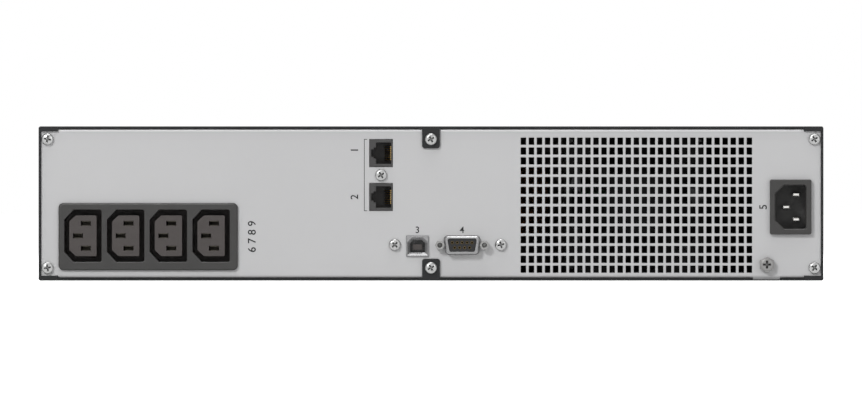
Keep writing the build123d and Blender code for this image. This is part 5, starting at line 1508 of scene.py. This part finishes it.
        def power(bm: Draft) -> None:
            place = Facing.FRONT.place((centre.x, face - 0.02 * MM, centre.z))
            steps, inner, outer = 28, 2.6 * MM, 3.2 * MM
            start, sweep = math.radians(125), math.radians(290)
            angles = [start + sweep * i / steps for i in range(steps + 1)]
            strip(bm, arc(outer, angles) + arc(inner, reversed(angles)), 0.0, 0.02 * MM, place)
            half = 0.3 * MM
            bar = [(-half, 0.6 * MM), (half, 0.6 * MM), (half, 3.6 * MM), (-half, 3.6 * MM)]
            prism(bm, bar, 0.0, 0.02 * MM, place)

        self.paint.put(piece_from("power_mark", power), "print_white", "power_key", "key_plastic")


# ---------------------------------------------------------------- inside
@dataclass
class Transformer:
    """The transformer's copper winding as stacked turns of wire."""

    paint: Paint
    wire: float = 0.82 * MM
    corner: float = 6.0 * MM

    def build(self, coil: RepeatTree) -> None:
        """Winds one layer of wire over the plain winding."""
        low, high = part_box("transformer_winding")
        centre = (low + high) / 2
        rise = WIRE_STEP * self.wire
        turns = int((high.z - low.z) / rise)
        spare = (high.z - low.z - (turns - 1) * rise) / 2
        width, depth = high.x - low.x - 2 * self.wire, high.y - low.y - 2 * self.wire
        winding = coil.grow(
            "copper_turns",
            self.paint.get("winding"),
            Width=width,
            Depth=depth,
            Corner=self.corner,
            Wire=self.wire,
            Turns=turns,
            Start=(centre.x, centre.y, low.z + spare),
        )
        place_on(winding, "case", "copper_winding")


# ---------------------------------------------------------------- studio
WHITE: Colour = (1.0, 1.0, 1.0)


@dataclass(frozen=True)
class Softbox:
    """One round area light: where it hangs, how wide it is and how strong."""

    name: str
    place: tuple[float, float, float]
    size: float
    watts: float


def seen_rays(graph: Graph) -> Socket:
    """1 for rays from the camera, in reflections and through the window, 0 for all others."""
    rays = graph.add("ShaderNodeLightPath").outputs
    seen = graph.maths("ADD", rays["Is Camera Ray"], rays["Is Glossy Ray"])
    return graph.maths("ADD", seen, rays["Is Transmission Ray"], clamp=True)


@dataclass
class Studio:
    """Pale floor, white surround, soft lights and the camera."""

    distance: float = 8.0
    field_w: float = 483.3 * MM
    surround: float = 0.32
    floor_glow: float = 0.9
    floor_r: float = 45.0
    sensor: float = 36.0
    reach: float = 60.0
    aim: tuple[float, float, float] = (0, 0, 0.04)
    lights: tuple[Softbox, ...] = (
        Softbox("key", (-1.8, -3.0, 2.1), 0.9, 78.0),
        Softbox("fill", (2.2, -3.0, 1.2), 1.8, 20.0),
        Softbox("top", (0.0, -0.5, 3.0), 1.6, 45.0),
        Softbox("front_key", (1.8, 3.2, 1.8), 1.6, 66.0),
        Softbox("front_fill", (-2.2, 3.0, 1.2), 1.8, 26.0),
    )

    def build(self) -> None:
        """Sets the view up."""
        scene = bpy.context.scene
        scene.view_settings.view_transform = "Standard"
        self.floor()
        self.world()
        for light in self.lights:
            self.light(light)
        self.camera()

    def floor(self) -> None:
        """A wide round floor that reads white and keeps a soft shadow."""
        disc = polygon(64, self.floor_r)
        ground = piece_from("studio_floor", lambda bm: prism(bm, disc, -0.02, 0.0, Matrix()))
        s = Shader("studio_floor")
        pale = s.blend(s.noise(0.4, 3), (0.55, 0.55, 0.55), (0.58, 0.58, 0.58))
        s.finish(pale, 0.9, 0.0, Specular_IOR_Level=0.0)
        strength = s.maths("MULTIPLY", seen_rays(s), self.floor_glow)
        glow = s.call("ShaderNodeEmission", 0, {"Color": WHITE, "Strength": strength})
        both = s.call("ShaderNodeAddShader", 0, {0: s.surface.outputs[0], 1: glow})
        s.feed(s.tree.nodes["Material Output"].inputs["Surface"], both)
        ground.data.materials.append(s.material)

    def world(self) -> None:
        """White to the camera and in reflections, a plain level of light elsewhere."""
        world = bpy.data.worlds.new("surround")
        world.use_nodes = True
        bpy.context.scene.world = world
        g = Graph(world.node_tree)
        extra = g.maths("MULTIPLY", seen_rays(g), 1.0 - self.surround)
        sky = g.tree.nodes["Background"]
        g.feed(sky.inputs["Color"], WHITE)
        g.feed(sky.inputs["Strength"], g.maths("ADD", extra, self.surround))

    def light(self, softbox: Softbox) -> None:
        """Hangs one light that faces the object."""
        data = bpy.data.lights.new(softbox.name, "AREA")
        data.shape = "DISK"
        data.size = softbox.size
        data.energy = softbox.watts
        lamp = bpy.data.objects.new(softbox.name, data)
        lamp.location = softbox.place
        aim = Vector(self.aim) - Vector(softbox.place)
        lamp.rotation_euler = aim.to_track_quat("-Z", "Y").to_euler()
        lamp.visible_camera = False
        bpy.context.scene.collection.objects.link(lamp)

    def camera(self) -> None:
        """A long lens square to the rear panel."""
        low, high = CAD_BOX
        data = bpy.data.cameras.new("camera")
        data.sensor_width = self.sensor
        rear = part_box("rear_panel")[0].y
        data.lens = self.sensor * self.distance / self.field_w
        data.clip_end = self.reach
        camera = bpy.data.objects.new("camera", data)
        camera.location = (0.0, rear - self.distance, (low.z + high.z) / 2)
        camera.rotation_euler = Facing.REAR.euler()
        bpy.context.scene.collection.objects.link(camera)
        bpy.context.scene.camera = camera


# The finish of every frame node that keeps its own mesh.
NODE_FINISHES = {
    "case_coat": "chassis_tray top_cover",
    "panel_coat": "rear_panel",
    "dull_nickel": "cover_screws ear_nuts",
    "strip_moulding": "outlet_frame",
    "core_moulding": "outlet_cores usb_tongue",
    "contact_metal": "outlet_contacts",
    "inlet_moulding": "inlet_body",
    "pin_metal": "inlet_pins battery_terminals",
    "jack_moulding": "surge_jack_out surge_jack_in",
    "gold_flash": "surge_jack_contacts",
    "board": "surge_board comm_board main_board control_board",
    "galvanised": "surge_bracket comm_bracket fan_bracket transformer_clamp battery_drawer",
    "tin_shell": "usb_shell serial_shell",
    "black_moulding": "serial_insulator",
    "socket_metal": "serial_contacts",
    "standoff_nickel": "serial_standoffs",
    "fan_moulding": "fan_frame",
    "bronze": "fan_bearing",
    "laminations": "fan_stator transformer_core",
    "bright_zinc": "fan_shaft tray_standoffs",
    "winding": "transformer_winding",
    "aluminium": "heatsinks",
    "component": "power_transistors capacitors battery_socket key_switches",
    "relay_shell": "relays",
    "nylon": "fuse drawer_runners",
    "battery_shell": "battery_cases",
    "lead": "battery_plates",
    "red_moulding": "battery_plug",
    "bezel_moulding": "battery_fascia bezel",
    "window": "display_window",
    "display_back": "display_module",
    "key_moulding": "key_select key_enter power_button",
}


def main() -> None:
    """Builds the looks round the frame, then the studio."""
    logging.basicConfig(level=logging.INFO, format="%(name)s: %(message)s")
    paint = Paint()
    paint.dress_nodes(NODE_FINISHES)
    fasteners = Fasteners(paint)
    screws = fastener_tree()
    fasteners.rear(screws)
    fasteners.inner(screws)
    fasteners.earth()
    PanelPrint(paint).build()
    spokes = round_tree()
    Fan(paint).build(spokes)
    ThumbScrews(paint).build(spokes)
    FrontPanel(paint).build(lattice_tree())
    Transformer(paint).build(coil_tree())
    Studio().build()


if __name__ == "__main__":
    main()
